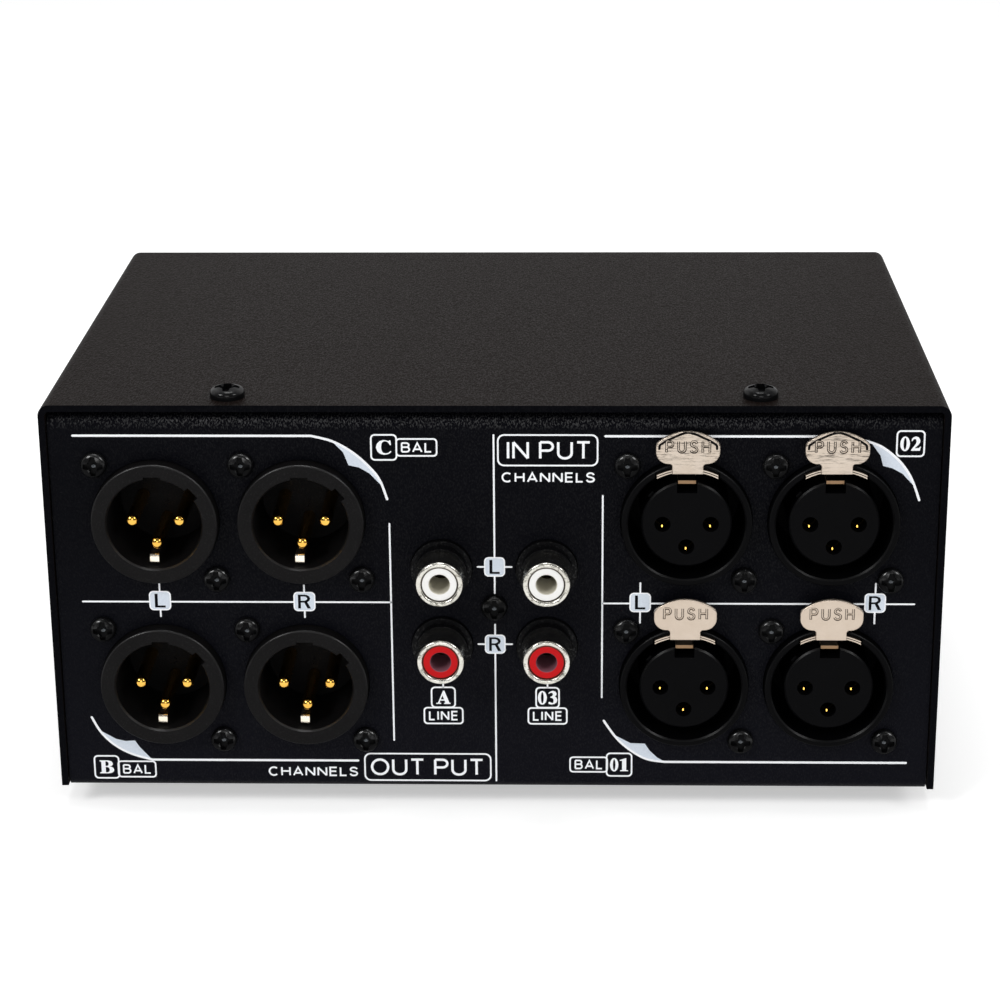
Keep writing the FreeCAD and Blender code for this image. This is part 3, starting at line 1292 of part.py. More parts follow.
def make_ribbon():
    """Flat cable from the rear board's header down to the front board's, and both headers."""
    header = new_body("ribbon_header")
    outline = draw(header, "XY_Plane", "outline", centred("Sizes.header_width", "Sizes.header_tall"))
    pad(header, outline, "Sizes.header_thick")
    away_from_rear = ("0", "Places.rear_face + Places.board_back", "Places.ribbon_high", FRONT_SIDE)
    away_from_front = ("0", "Places.front_face - Places.front_board_back", "Places.ribbon_low", REAR_SIDE)
    group("ribbon_headers", header, [away_from_rear, away_from_front])

    body = new_body("ribbon_cable")
    half = "Sizes.ribbon_thick / 2"
    bend = "Sizes.ribbon_bend"
    outer = f"({bend} + {half})"
    inner = f"({bend} - {half})"
    middle = "Places.ribbon_middle"
    high = "Places.ribbon_high"
    low = "Places.ribbon_low"
    side = draw(body, "YZ_Plane", "side", [
        ("Places.ribbon_rear", f"{high} + {half}"),
        (f"{middle} + {bend}", f"{high} + {half}", outer),
        (f"{middle} - {half}", f"{high} - {bend}"),
        (f"{middle} - {half}", f"{low} + {bend}", f"-{inner}"),
        (f"{middle} - {bend}", f"{low} + {half}"),
        ("Places.ribbon_front", f"{low} + {half}"),
        ("Places.ribbon_front", f"{low} - {half}"),
        (f"{middle} - {bend}", f"{low} - {half}", outer),
        (f"{middle} + {half}", f"{low} + {bend}"),
        (f"{middle} + {half}", f"{high} - {bend}", f"-{inner}"),
        (f"{middle} + {bend}", f"{high} - {half}"),
        ("Places.ribbon_rear", f"{high} - {half}"),
    ], height="-Sizes.ribbon_width / 2")
    pad(body, side, "Sizes.ribbon_width")
    keep(body, "ribbon_cable")


def make_control(node, name, outline):
    """Body of a potentiometer or switch behind the wall, with its bushing through the panel."""
    body = new_body(node)
    case = pad(body, outline(body), "Sizes.control_depth")
    if node == "volume_pot":
        half = "Sizes.pot_side / 2"
        corners = [(x, y, "0") for x in (half, f"-{half}") for y in (half, f"-{half}")]
        round_lines(body, case, ALONG_Z, corners, "Sizes.pot_corner")
    bushing = draw_circles(body, "XY_Plane", "bushing", [("0", "0", "Sizes.bushing_radius")],
                           height="Places.wall_back")
    pad(body, bushing, "Sizes.bushing_reach - Places.wall_back")
    bore_circle = [("0", "0", "Sizes.shaft_radius + Sizes.shaft_running_gap")]
    bore = draw_circles(body, "XY_Plane", "bore", bore_circle, height=f"Sizes.bushing_reach + {CLEAR}")
    pocket(body, bore, f"Sizes.bushing_reach + Sizes.shaft_depth + 2 * {CLEAR}")
    place_on_front(body, CONTROLS[name], "Places.box_middle")
    keep(body, node)


def square_outline(body):
    return draw(body, "XY_Plane", "case", centred("Sizes.pot_side", "Sizes.pot_side"),
                height="Places.control_back")


def round_outline(body):
    return draw_circles(body, "XY_Plane", "case", [("0", "0", "Sizes.switch_radius")],
                        height="Places.control_back")


def make_shaft(name):
    """Control shaft with a flat for the set screw."""
    body = new_body(f"{name}_shaft")
    radius = "Sizes.shaft_radius"
    rod = draw_circles(body, "XY_Plane", "rod", [("0", "0", radius)], height="-Sizes.shaft_depth")
    pad(body, rod, "Sizes.shaft_depth + Sizes.shaft_reach")
    flat = draw(body, "XY_Plane", "flat", rectangle(
        f"-{radius}", f"-{radius}", radius, "-Sizes.shaft_flat"), height="Sizes.shaft_reach")
    pocket(body, flat, "Sizes.shaft_flat_length")
    place_on_front(body, CONTROLS[name], "Places.box_middle")
    keep(body, f"{name}_shaft")


def make_knob(name, kind):
    """Turned knob with a skirt, a dished face, a pointer slot and a hollow for the nut."""
    body = new_body(f"{name}_knob")
    radius = f"Sizes.{kind}_knob_radius"
    start = "Sizes.knob_gap"
    end = f"(Sizes.knob_gap + Sizes.{kind}_knob_length)"
    side = f"({radius} - Sizes.knob_skirt)"
    edge = "Sizes.knob_edge"
    dish = f"({radius} - Sizes.knob_dish_margin)"
    profile = draw(body, "XZ_Plane", "profile", [
        ("0", start),
        (radius, start),
        (radius, f"{start} + Sizes.knob_skirt_length"),
        (side, f"{start} + Sizes.knob_skirt_length + Sizes.knob_skirt"),
        (side, f"{end} - {edge}", edge),
        (f"{side} - {edge}", end),
        (dish, end),
        (f"{dish} - Sizes.knob_dish_depth", f"{end} - Sizes.knob_dish_depth"),
        ("0", f"{end} - Sizes.knob_dish_depth"),
    ])
    turn_about(body, "Revolution", profile)
    bore = "(Sizes.shaft_radius + Sizes.knob_fit_gap)"
    hollow = draw(body, "XZ_Plane", "hollow", [
        ("0", f"{start} - {CLEAR}"),
        ("Sizes.knob_recess_radius", f"{start} - {CLEAR}"),
        ("Sizes.knob_recess_radius", f"{start} + Sizes.knob_recess_depth"),
        (bore, f"{start} + Sizes.knob_recess_depth"),
        (bore, "Sizes.shaft_reach + Sizes.knob_bore_end_gap"),
        ("0", "Sizes.shaft_reach + Sizes.knob_bore_end_gap"),
    ])
    turn_about(body, "Groove", hollow)
    # The pointer is a slot milled from the rim towards the middle.
    slot = draw(body, "XY_Plane", "pointer", rectangle(
        "-Sizes.pointer_width / 2", f"{side} - Sizes.pointer_length",
        "Sizes.pointer_width / 2", radius), height=f"{end} + {CLEAR}")
    pocket(body, slot, f"{CLEAR} + Sizes.knob_dish_depth + Sizes.pointer_depth")
    # Radial hole for the set screw, below the shaft, cut from the axis outwards.
    screw = [("0", "Sizes.set_screw_out", "Sizes.set_screw_radius + Sizes.thread_gap")]
    pocket(body, draw_circles(body, "XZ_Plane", "set_screw_hole", screw), f"{radius} + {CLEAR}",
           along_normal=True)
    place_on_front(body, CONTROLS[name], "Places.box_middle")
    keep(body, f"{name}_knob")


def make_set_screw(name):
    """Set screw with a hexagon socket, from the shaft's flat outwards."""
    rod = doc.addObject("Part::Cylinder", f"{name}_set_screw_rod")
    rod.setExpression("Radius", "Sizes.set_screw_radius")
    rod.setExpression("Height", "Sizes.set_screw_length")
    socket = doc.addObject("Part::Prism", f"{name}_set_screw_socket")
    socket.Polygon = 6
    socket.setExpression("Circumradius", "Sizes.set_screw_socket")
    socket.setExpression("Height", f"Sizes.set_screw_socket_depth + {CLEAR}")
    place(socket, "0", "0", "Sizes.set_screw_length - Sizes.set_screw_socket_depth")
    screw = doc.addObject("Part::Cut", f"{name}_set_screw_cut")
    screw.Base = rod
    screw.Tool = socket
    place(screw, CONTROLS[name], "Places.front_face - Sizes.set_screw_out",
          "Sizes.foot_height + Places.box_middle - Sizes.shaft_flat", UPSIDE_DOWN)
    keep(screw, f"{name}_set_screw")


def make_control_nuts():
    """Hexagon nuts that clamp the front panel and the inner wall against the controls."""
    hexagon = doc.addObject("Part::Prism", "nut_hexagon")
    hexagon.Polygon = 6
    hexagon.setExpression("Circumradius", "Places.nut_corner")
    hexagon.setExpression("Height", "Sizes.nut_thick")
    bore = doc.addObject("Part::Cylinder", "nut_bore")
    bore.setExpression("Radius", "Sizes.bushing_radius + Sizes.thread_gap")
    bore.setExpression("Height", f"Sizes.nut_thick + 2 * {CLEAR}")
    place(bore, "0", "0", f"-{CLEAR}")
    nut = doc.addObject("Part::Cut", "nut")
    nut.Base = hexagon
    nut.Tool = bore
    group("control_nuts", nut, [front_spot(across, "Places.box_middle") for across in CONTROLS.values()])


def make_socket_screws():
    screw = make_pan_screw("small")
    spots = []
    for across, up in list(OUTPUTS.values()) + list(INPUTS.values()):
        for right, above in SCREW_SPOTS:
            spots.append(rear_spot(f"{across} + ({right})", f"{up} + ({above})"))
    group("connector_screws", screw, spots)
    group("phono_screw", screw, [rear_spot("0", "Places.phono_middle_up")])


make_chassis()
make_top_cover()
make_front_panel()
make_case_screws()
make_feet()

pin = make_pin()
tongue = make_tongue()
for socket_name, (socket_across, socket_up) in OUTPUTS.items():
    make_output_shell(socket_name, socket_across, socket_up)
    pin_spots = []
    for right, above in CONTACT_SPOTS:
        pin_spots.append(rear_spot(f"{socket_across} + ({right})", f"{socket_up} + ({above})"))
    group(f"{socket_name}_pins", pin, pin_spots)
group("output_ground_tongues", tongue, [rear_spot(across, up) for across, up in OUTPUTS.values()])

for socket_name, (socket_across, socket_up) in INPUTS.items():
    make_input_housing(socket_name, socket_across, socket_up)
    make_input_insert(socket_name, socket_across, socket_up)
    make_latch(socket_name, socket_across, socket_up)
group("input_contacts", make_socket_contact(), [rear_spot(x, y) for x, y in contact_places(INPUTS)])

make_phono_block()
for socket_name, (socket_across, socket_up) in PHONOS.items():
    make_phono_sleeve(socket_name, socket_across, socket_up)
insulator = make_insulator()
group("phono_insulators_white", insulator,
      [rear_spot(across, up) for name, (across, up) in PHONOS.items() if name.endswith("left")])
group("phono_insulators_red", insulator,
      [rear_spot(across, up) for name, (across, up) in PHONOS.items() if name.endswith("right")])
group("phono_contacts", make_centre_contact(), [rear_spot(across, up) for across, up in PHONOS.values()])
make_socket_screws()

make_control("volume_pot", "volume", square_outline)
make_control("input_switch", "input", round_outline)
make_control("output_switch", "output", round_outline)
make_control_nuts()
for control_name in CONTROLS:
    make_shaft(control_name)
    make_knob(control_name, "volume" if control_name == "volume" else "selector")
    make_set_screw(control_name)
make_rear_board()
make_front_board()
make_ribbon()

doc.recompute()

# Nothing is written unless every object is sound and every cut has removed material.
problems = []
for item in doc.Objects:
    if "Invalid" in item.State or "Error" in item.State:
        problems.append(f"{item.Name}: {item.State}")
    if item.TypeId in ("PartDesign::Pocket", "PartDesign::Groove", "PartDesign::SubtractiveCone"):
        if item.Shape.Volume > item.BaseFeature.Shape.Volume - 1e-4:
            problems.append(f"{item.Name}: removes nothing")
for node_name, piece in nodes.items():
    if piece.Shape.isNull() or not piece.Shape.isValid():
        problems.append(f"{node_name}: bad shape")
    elif not piece.Shape.Solids:
        problems.append(f"{node_name}: no solid")
if len(nodes) > 60:
    problems.append(f"{len(nodes)} nodes")
if problems:
    raise SystemExit("\n".join(problems))

os.makedirs("parts", exist_ok=True)
for node_name, piece in nodes.items():
    piece.Shape.exportStep(f"parts/{node_name}.step")
    box = piece.Shape.BoundBox
    print(f"{node_name}: {len(piece.Shape.Solids)} solids, {piece.Shape.Volume:.1f} mm3, "
          f"{box.XLength:.1f} x {box.YLength:.1f} x {box.ZLength:.1f} mm")
print(len(nodes), "nodes")
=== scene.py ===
# %% [markdown]
# # A small passive preamplifier, seen from behind
# The object is a black steel box with eight balanced sockets, four phono jacks and
# white screen printing. The CAD model holds every shape that can be measured, so it is
# loaded first and never moved. This file adds light, a camera, finishes, paint and a few
# fine details that are stamped or moulded into the pieces.

import json
import math

import bmesh
import bpy
from mathutils import Matrix, Vector
from mathutils.geometry import tessellate_polygon

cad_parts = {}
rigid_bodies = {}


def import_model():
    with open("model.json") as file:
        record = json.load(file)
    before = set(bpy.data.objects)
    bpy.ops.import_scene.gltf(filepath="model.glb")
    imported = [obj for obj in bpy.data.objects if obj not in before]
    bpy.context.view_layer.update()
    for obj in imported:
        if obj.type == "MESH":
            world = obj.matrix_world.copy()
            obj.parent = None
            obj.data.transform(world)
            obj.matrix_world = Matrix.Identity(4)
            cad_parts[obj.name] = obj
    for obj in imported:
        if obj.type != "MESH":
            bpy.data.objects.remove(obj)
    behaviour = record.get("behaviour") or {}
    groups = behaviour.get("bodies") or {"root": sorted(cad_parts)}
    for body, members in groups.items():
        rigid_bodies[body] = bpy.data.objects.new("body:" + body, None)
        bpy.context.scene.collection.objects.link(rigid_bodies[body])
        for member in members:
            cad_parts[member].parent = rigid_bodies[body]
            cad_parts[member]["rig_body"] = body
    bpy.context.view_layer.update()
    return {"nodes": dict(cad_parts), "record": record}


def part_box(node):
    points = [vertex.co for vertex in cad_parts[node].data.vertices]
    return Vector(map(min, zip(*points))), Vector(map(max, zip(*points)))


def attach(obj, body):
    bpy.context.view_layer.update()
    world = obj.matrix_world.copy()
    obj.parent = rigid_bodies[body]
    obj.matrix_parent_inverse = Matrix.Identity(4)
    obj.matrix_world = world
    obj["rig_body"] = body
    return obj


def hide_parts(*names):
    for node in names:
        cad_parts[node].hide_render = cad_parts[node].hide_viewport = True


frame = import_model()
nodes = frame["nodes"]

# %% [markdown]
# Blender counts in metres, and the front and the rear of the box face opposite ways.
# Print and small parts could be placed in room coordinates, but they are easier to read
# in millimetres, as one sees them. So one matrix for each side takes x to the viewer's
# right, y up and z out of the panel, and turns them into places in the room.

# %% Name the sides of the box
MM = 0.001
BOX_BOTTOM = 4.0
REAR_FACE = 55.45
front_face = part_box("front_panel")[0].y / MM


def side(right, out, face):
    """The matrix from a side's own millimetres to metres in the room."""
    turn = Matrix.Identity(4)
    turn.col[0].xyz, turn.col[1].xyz, turn.col[2].xyz = right, (0, 0, 1), out
    return Matrix.Scale(MM, 4) @ Matrix.Translation((0, face, BOX_BOTTOM)) @ turn


REAR = side((-1, 0, 0), (0, 1, 0), REAR_FACE)
FRONT = side((1, 0, 0), (0, -1, 0), front_face)
print("front plate at y =", round(front_face, 2), "mm")

# %% [markdown]
# The photographer stood close, a little to the right of the middle and well above the
# top. Close means that the far edge of the top looks much shorter than the near one. A
# camera could track a target, but a fixed place and three fixed angles can be matched to
# the corners of the box in the photograph. A small upward shift keeps the sides of the
# panel nearly upright.

# %% Set the camera
CAMERA_PLACE = Vector((-0.0129, 0.4777, 0.2179))
CAMERA_TILT = math.radians(90 - 18.29)
CAMERA_TURN = math.radians(180 + 1.575)
CAMERA_ROLL = math.radians(-0.45)
CAMERA_LENS = 92.85
CAMERA_SHIFT = -0.1

camera_data = bpy.data.cameras.new("camera")
camera_data.sensor_width = 36
camera_data.lens = CAMERA_LENS
camera_data.shift_y = CAMERA_SHIFT
camera = bpy.data.objects.new("camera", camera_data)
aim = Matrix.Rotation(CAMERA_TURN, 4, "Z") @ Matrix.Rotation(CAMERA_TILT, 4, "X")
aim = aim @ Matrix.Rotation(CAMERA_ROLL, 4, "Z")
camera.matrix_world = Matrix.Translation(CAMERA_PLACE) @ aim
bpy.context.collection.objects.link(camera)
bpy.context.scene.camera = camera
print("camera stands", round(CAMERA_PLACE.y - REAR_FACE * MM, 3), "m behind the panel")

# %% [markdown]
# A finish is a set of nodes. They could be placed by hand in the shader editor, but a
# script can be read and repeated. The helpers below add a node, do a sum, read the place
# of a point and build a group, which is an effect with named inputs and outputs that
# several finishes share.

# %% Make helpers for nodes


def node(tree, kind, inputs=None, **settings):
    """Adds a node to a tree, sets its properties and then its input values or links."""
    added = tree.nodes.new("ShaderNode" + kind)
    for name, value in settings.items():
        setattr(added, name, value)
    for key, value in (inputs or {}).items():
        if isinstance(value, bpy.types.NodeSocket):
            tree.links.new(value, added.inputs[key])
        else:
            added.inputs[key].default_value = value
    return added


def maths(tree, operation, first, second=0.0):
    """The result of a sum with one or two numbers or masks."""
    return node(tree, "Math", {0: first, 1: second}, operation=operation).outputs[0]


def times(tree, first, second):
    """The product of two numbers or masks."""
    return maths(tree, "MULTIPLY", first, second)


def step(tree, value, low, high, floor=0.0, top=1.0):
    """A mask that rises from floor to top while a value goes from low to high."""
    return node(tree, "MapRange", {
        "Value": value, "From Min": low, "From Max": high, "To Min": floor, "To Max": top,
    }).outputs["Result"]


def in_metres(tree):
    """The place of each point of the object, in metres."""
    return node(tree, "TexCoord").outputs["Object"]


def split(tree, vector):
    """The X, Y and Z of a vector."""
    return node(tree, "SeparateXYZ", {"Vector": vector}).outputs


def stretched(tree, x, y, z):
    """The place of each point with each axis multiplied, to draw a pattern out."""
    spread = node(tree, "CombineXYZ", {"X": x, "Y": y, "Z": z}).outputs[0]
    return node(tree, "VectorMath", {0: in_metres(tree), 1: spread},
                operation="MULTIPLY").outputs[0]


def noise(tree, place, scale, detail, rough=0.5):
    """Soft noise between nought and one."""
    return node(tree, "TexNoise", {
        "Vector": place, "Scale": scale, "Detail": detail, "Roughness": rough}).outputs["Fac"]


def start_group(name, inputs, outputs):
    """A new node group with number inputs and outputs: its tree, inputs and output node."""
    tree = bpy.data.node_groups.new(name, "ShaderNodeTree")
    for label, value in inputs.items():
        socket = tree.interface.new_socket(
            name=label, in_out="INPUT", socket_type="NodeSocketFloat")
        socket.default_value = value
    for label in outputs:
        tree.interface.new_socket(
            name=label, in_out="OUTPUT", socket_type="NodeSocketFloat")
    entry = tree.nodes.new("NodeGroupInput")
    return tree, entry.outputs, tree.nodes.new("NodeGroupOutput")


def put_out(tree, exit_node, **masks):
    """Sends masks to the outputs of a group and says how large the group is."""
    for name, mask in masks.items():
        tree.links.new(mask, exit_node.inputs[name])
    print(tree.name, "nodes:", len(tree.nodes))


def place_group(tree, group, **values):
    """Places a node group in a material with its own values."""
    placed = tree.nodes.new("ShaderNodeGroup")
    placed.node_tree = group
    for name, value in values.items():
        placed.inputs[name].default_value = value
    return placed.outputs


print("node helpers work in Blender", bpy.app.version_string)

# %% [markdown]
# Powder coat is melted plastic dust. It pulls itself into small soft bumps, like fine
# leather. Modelled bumps would need millions of faces, so a pattern of cells tells a
# bump node where they are. Slow noise gives the tone, and slanting noise picks the tips
# that catch the light from the side. The real grain is about a third of a millimetre
# wide, so its size goes in as metres. Level faces may have it drawn out from front to
# back, and upright faces have it round.

# %% Make the powder coat group
TONES_PER_METRE = 55.0
grain, entry, exit_node = start_group(
    "powder_grain", {"Cell": 0.0004, "Stretch": 1.0}, ["Height", "Tone", "Peaks"])
scale = maths(grain, "DIVIDE", 1.0, entry["Cell"])
way = split(grain, node(grain, "NewGeometry").outputs["Normal"])
level = maths(grain, "ABSOLUTE", way["Z"])
along = step(grain, level, 0.5, 0.9, floor=entry["Stretch"], top=1.0)
place = stretched(grain, entry["Stretch"], along, entry["Stretch"])
cells = node(grain, "TexVoronoi", {"Vector": place, "Scale": scale, "Randomness": 1.0})
rounded = maths(grain, "SUBTRACT", 1.0, cells.outputs["Distance"])
wobble = noise(grain, place, scale, 2.0, 0.6)
soften = node(grain, "Mix", {"Factor": 0.55, "A": rounded, "B": wobble})
slanted = node(grain, "Mapping", {
    "Vector": place, "Rotation": (0, math.radians(35), 0), "Scale": (1.3, 1.0, 0.65)})
glints = noise(grain, slanted.outputs[0], scale, 1.0)
put_out(grain, exit_node, Height=soften.outputs["Result"],
        Peaks=step(grain, glints, 0.48, 0.68),
        Tone=noise(grain, in_metres(grain), TONES_PER_METRE, 4.0))

# %% [markdown]
# Plated metal that has been handled carries hair scratches, mostly along one direction,
# and soft smudges where the shine is duller. Scratches could be painted on a picture by
# hand, but long thin noise, cut off at its peaks, needs none. How far each axis is
# stretched sets their direction.

# %% Make the handled metal group
SCRATCH_PEAK = 0.7
SMUDGES_PER_METRE = 420.0
handled, entry, exit_node = start_group(
    "handled_metal", {"Along": 60.0, "Across": 2600.0, "Cut": 0.6}, ["Scratch", "Smudge"])
hairs = noise(handled, stretched(handled, entry["Along"], entry["Across"], entry["Across"]),
              1.0, 3.0, 0.7)
put_out(handled, exit_node, Scratch=step(handled, hairs, entry["Cut"], SCRATCH_PEAK),
        Smudge=noise(handled, in_metres(handled), SMUDGES_PER_METRE, 5.0, 0.65))

# %% [markdown]
# Moulded plastic is never quite even: the mould was spark-finished, which leaves fine
# pits, and the tone drifts a little. Noise that counts in metres keeps the pits at their
# real size on large and small pieces alike. The same group serves sockets, jacks, feet,
# the cable and the board, each with its own pit size.

# %% Make the moulded plastic group
DRIFTS_PER_METRE = 160.0
moulded, entry, exit_node = start_group(
    "moulded_plastic", {"Pit": 0.00015}, ["Pits", "Drift", "Specks"])
pits = noise(moulded, in_metres(moulded), maths(moulded, "DIVIDE", 1.0, entry["Pit"]), 3.0)
put_out(moulded, exit_node, Pits=pits, Specks=step(moulded, pits, 0.55, 0.72),
        Drift=noise(moulded, in_metres(moulded), DRIFTS_PER_METRE, 2.0))

# %% [markdown]
# Small black things show mostly by their edges. More lamps would show them but lighten
# everything else, so this group looks at the way a face turns. Flat ones look straight
# out or up, edges are the round ones between, cones are the slanting walls of a pit, out
# is what faces the front or the rear, and up tells how much light from above arrives.

# %% Make the facing group
CONE_SLANT = 0.6
facing, _, exit_node = start_group("facing", {}, ["Flat", "Edge", "Cone", "Out", "Up"])
way = split(facing, node(facing, "NewGeometry").outputs["Normal"])
out = maths(facing, "ABSOLUTE", way["Y"])
straight = maths(facing, "MAXIMUM", out, maths(facing, "ABSOLUTE", way["Z"]))
sideways = maths(facing, "SUBTRACT", 1.0, out)
off_cone = maths(facing, "ABSOLUTE", maths(facing, "SUBTRACT", out, CONE_SLANT))
put_out(facing, exit_node,
        Flat=step(facing, straight, 0.985, 0.995),
        Edge=times(facing, times(facing, out, sideways), 4.0),
        Cone=step(facing, off_cone, 0.05, 0.03),
        Out=step(facing, out, 0.4, 0.9),
        Up=step(facing, way["Z"], -0.05, 0.55))

# %% [markdown]
# The phono jacks stand in two rows of two. Their insulators could be cut into a piece
# for each tone, but a measure does as well: the distance of a point from the middle of
# the nearest jack tells whether it is in the hole for the plug or at the outer rim.

# %% Make the phono zones group
JACK_ACROSS = 0.0093
JACK_MIDDLE = 0.03965
JACK_STEP = 0.00735
HOLE_EDGE = (0.00192, 0.00184)
RIM_EDGE = (0.00298, 0.00306)

zones, _, exit_node = start_group("phono_zones", {}, ["Hole", "Rim"])
spot = split(zones, in_metres(zones))
aside = maths(zones, "SUBTRACT", maths(zones, "ABSOLUTE", spot["X"]), JACK_ACROSS)
above = maths(zones, "ABSOLUTE", maths(zones, "SUBTRACT", spot["Z"], JACK_MIDDLE))
above = maths(zones, "SUBTRACT", above, JACK_STEP)
flat = node(zones, "CombineXYZ", {"X": aside, "Y": above}).outputs[0]
away = node(zones, "VectorMath", {0: flat}, operation="LENGTH").outputs["Value"]
put_out(zones, exit_node, Hole=step(zones, away, *HOLE_EDGE), Rim=step(zones, away, *RIM_EDGE))

# %% [markdown]
# The look of a surface is the set of values on its Principled shader. The helpers below
# start one and let masks move its colour, roughness, gloss and bump. The shader stays in
# each material and isn't hidden in a group, so that every finish can be read, and
# exported, on its own.

# %% Make helpers for finishes


def start_material(name, colour, rough, metal=0.0, specular=0.5):
    """A new material with its Principled shader's plain values set."""
    material = bpy.data.materials.new(name)
    material.use_nodes = True
    shader = material.node_tree.nodes["Principled BSDF"]
    shader.inputs["Base Color"].default_value = (*colour, 1)
    shader.inputs["Roughness"].default_value = rough
    shader.inputs["Metallic"].default_value = metal
    shader.inputs["Specular IOR Level"].default_value = specular
    return material, material.node_tree, shader


def blend(tree, shader, mask, below, above):
    """Lets a mask move the base colour from one colour to another."""
    mix = node(tree, "Mix", {"Factor": mask, 6: below, 7: (*above, 1)}, data_type="RGBA")
    tree.links.new(mix.outputs[2], shader.inputs["Base Color"])


def vary_colour(tree, shader, mask, low, high):
    """Sets the base colour between two colours, as a mask says."""
    blend(tree, shader, mask, (*low, 1), high)


def lay_over(tree, shader, mask, colour):
    """Lays one more colour over the base colour where a mask is high."""
    blend(tree, shader, mask, shader.inputs["Base Color"].links[0].from_socket, colour)


def vary_roughness(tree, shader, mask, low, high):
    """Lets a mask move the roughness between two values."""
    tree.links.new(step(tree, mask, 0.0, 1.0, low, high), shader.inputs["Roughness"])


def add_gloss(tree, shader, mask, rough, ior=1.5):
    """A clear gloss over the base, as strong as a mask says."""
    tree.links.new(mask, shader.inputs["Coat Weight"])
    shader.inputs["Coat Roughness"].default_value = rough
    shader.inputs["Coat IOR"].default_value = ior


def add_bump(tree, shader, height, depth):
    """Turns a height mask into a bump of a real depth in metres."""
    bump = node(tree, "Bump", {"Height": height, "Distance": depth})
    tree.links.new(bump.outputs["Normal"], shader.inputs["Normal"])


finishes = {}


def add_finishes(make, table):
    """Makes each finish of a table from its dark and light colour, roughness and more."""
    for name, (dark, light, rough, more) in table.items():
        finishes[name] = make(name, dark, light, rough, **more)
    print("finishes:", ", ".join(table))


# %% [markdown]
# Both steel parts have black powder coat: a fine bluish one on the chassis and a coarser
# one on the cover, whose colour is painted warmer and lighter for the light that its top
# catches at a low angle. Black paint returns under two percent of the light, so the base
# colours are very low. The tips of the grain are glossy, most of all along the rounded
# bend at the top of the rear panel. A paler colour could show them, but a clear gloss
# that the masks switch on still changes with the light.

# %% Coat the chassis and the cover
BEND = (0.0728, 0.0750)
BEND_ENDS = (0.05, 0.079)
LOWER_PANEL = (0.052, 0.008)
GRAIN_ROUGHNESS = 0.12


def powder_coat(name, dark, light, rough, specular, cell, depth, stretch, gloss, bend_gloss,
                flank=1.0):
    """A black powder coat between two tones, with glossy tips that upright faces may lack."""
    material, tree, shader = start_material(name, dark, rough, specular=specular)
    outputs = place_group(tree, grain, Cell=cell, Stretch=stretch)
    vary_colour(tree, shader, outputs["Tone"], dark, light)
    vary_roughness(tree, shader, outputs["Height"], rough + GRAIN_ROUGHNESS,
                   rough - GRAIN_ROUGHNESS)
    add_bump(tree, shader, outputs["Height"], depth)
    spot = split(tree, in_metres(tree))
    strength = step(tree, spot["Z"], *BEND, floor=gloss, top=bend_gloss)
    inner = step(tree, maths(tree, "ABSOLUTE", spot["X"]), *BEND_ENDS, floor=1.0, top=0.5)
    lit = step(tree, place_group(tree, facing)["Up"], 0.1, 0.9, floor=flank)
    strength = times(tree, times(tree, strength, inner), lit)
    add_gloss(tree, shader, times(tree, outputs["Peaks"], strength), 0.5, ior=1.9)
    return material


add_finishes(powder_coat, {
    "chassis_coat": (
        (0.0010, 0.0011, 0.0020), (0.0021, 0.0022, 0.0038), 0.36,
        dict(specular=0.026, cell=0.00030, depth=1.4e-4, stretch=1.0, gloss=0.05,
             bend_gloss=0.78)),
    # The cover's warmer, lighter colour is painted light, for the light that its top catches
    "cover_coat": (
        (0.0058, 0.0035, 0.0029), (0.0074, 0.0050, 0.0043), 0.5,
        dict(specular=0.019, cell=0.0009, depth=1.6e-4, stretch=3.0, gloss=0.13,
             bend_gloss=0.13, flank=0.15)),
})

# The chassis coat is painted lighter and bluer low on the panel. The cover's faces that
# look out are painted a darker, bluer tone than its top, whose colour is painted light.
tree = finishes["chassis_coat"].node_tree
low_down = step(tree, split(tree, in_metres(tree))["Z"], *LOWER_PANEL, top=0.95)
lay_over(tree, tree.nodes["Principled BSDF"], low_down, (0.0040, 0.0041, 0.0066))
tree = finishes["cover_coat"].node_tree
# Painted shade: faces that look out get a darker, bluer tone than the painted-light top
out_faces_painted_shade = place_group(tree, facing)["Out"]
lay_over(tree, tree.nodes["Principled BSDF"], out_faces_painted_shade, (0.0015, 0.0016, 0.0026))
# The print names the two places where the coat's tone is painted
print("thinner coat below", LOWER_PANEL[0], "m and on the cover's rear edge")

# %% [markdown]
# The metals come next: gold pins, nickel sleeves and latches and the steel of the
# controls. A metal's colour is the colour of its reflection, so the pale ones are bright
# and differ mostly in roughness and in how scratched they are. One function with a table
# of values keeps them easy to compare. The tabs hold dirt mostly where thumbs press.

# %% Finish the metals
CLEAN_SHARE = 0.25


def metal(name, dark, light, rough, along=60.0, across=2600.0, cut=0.6, depth=2e-6,
          metallic=1.0, specular=0.5, dirt=None, thumbed=None):
    """A metal with smudges and hair scratches, which may hold dirt above a thumbed height."""
    material, tree, shader = start_material(name, light, rough, metallic, specular)
    outputs = place_group(tree, handled, Along=along, Across=across, Cut=cut)
    vary_colour(tree, shader, outputs["Smudge"], dark, light)
    vary_roughness(tree, shader, outputs["Smudge"], rough * 0.7, rough * 1.35)
    add_bump(tree, shader, outputs["Scratch"], depth)
    if dirt:
        dirty = outputs["Scratch"]
        if thumbed:
            height = split(tree, in_metres(tree))["Z"]
            dirty = times(tree, dirty, step(tree, height, *thumbed, floor=CLEAN_SHARE))
        lay_over(tree, shader, dirty, dirt)
    return material


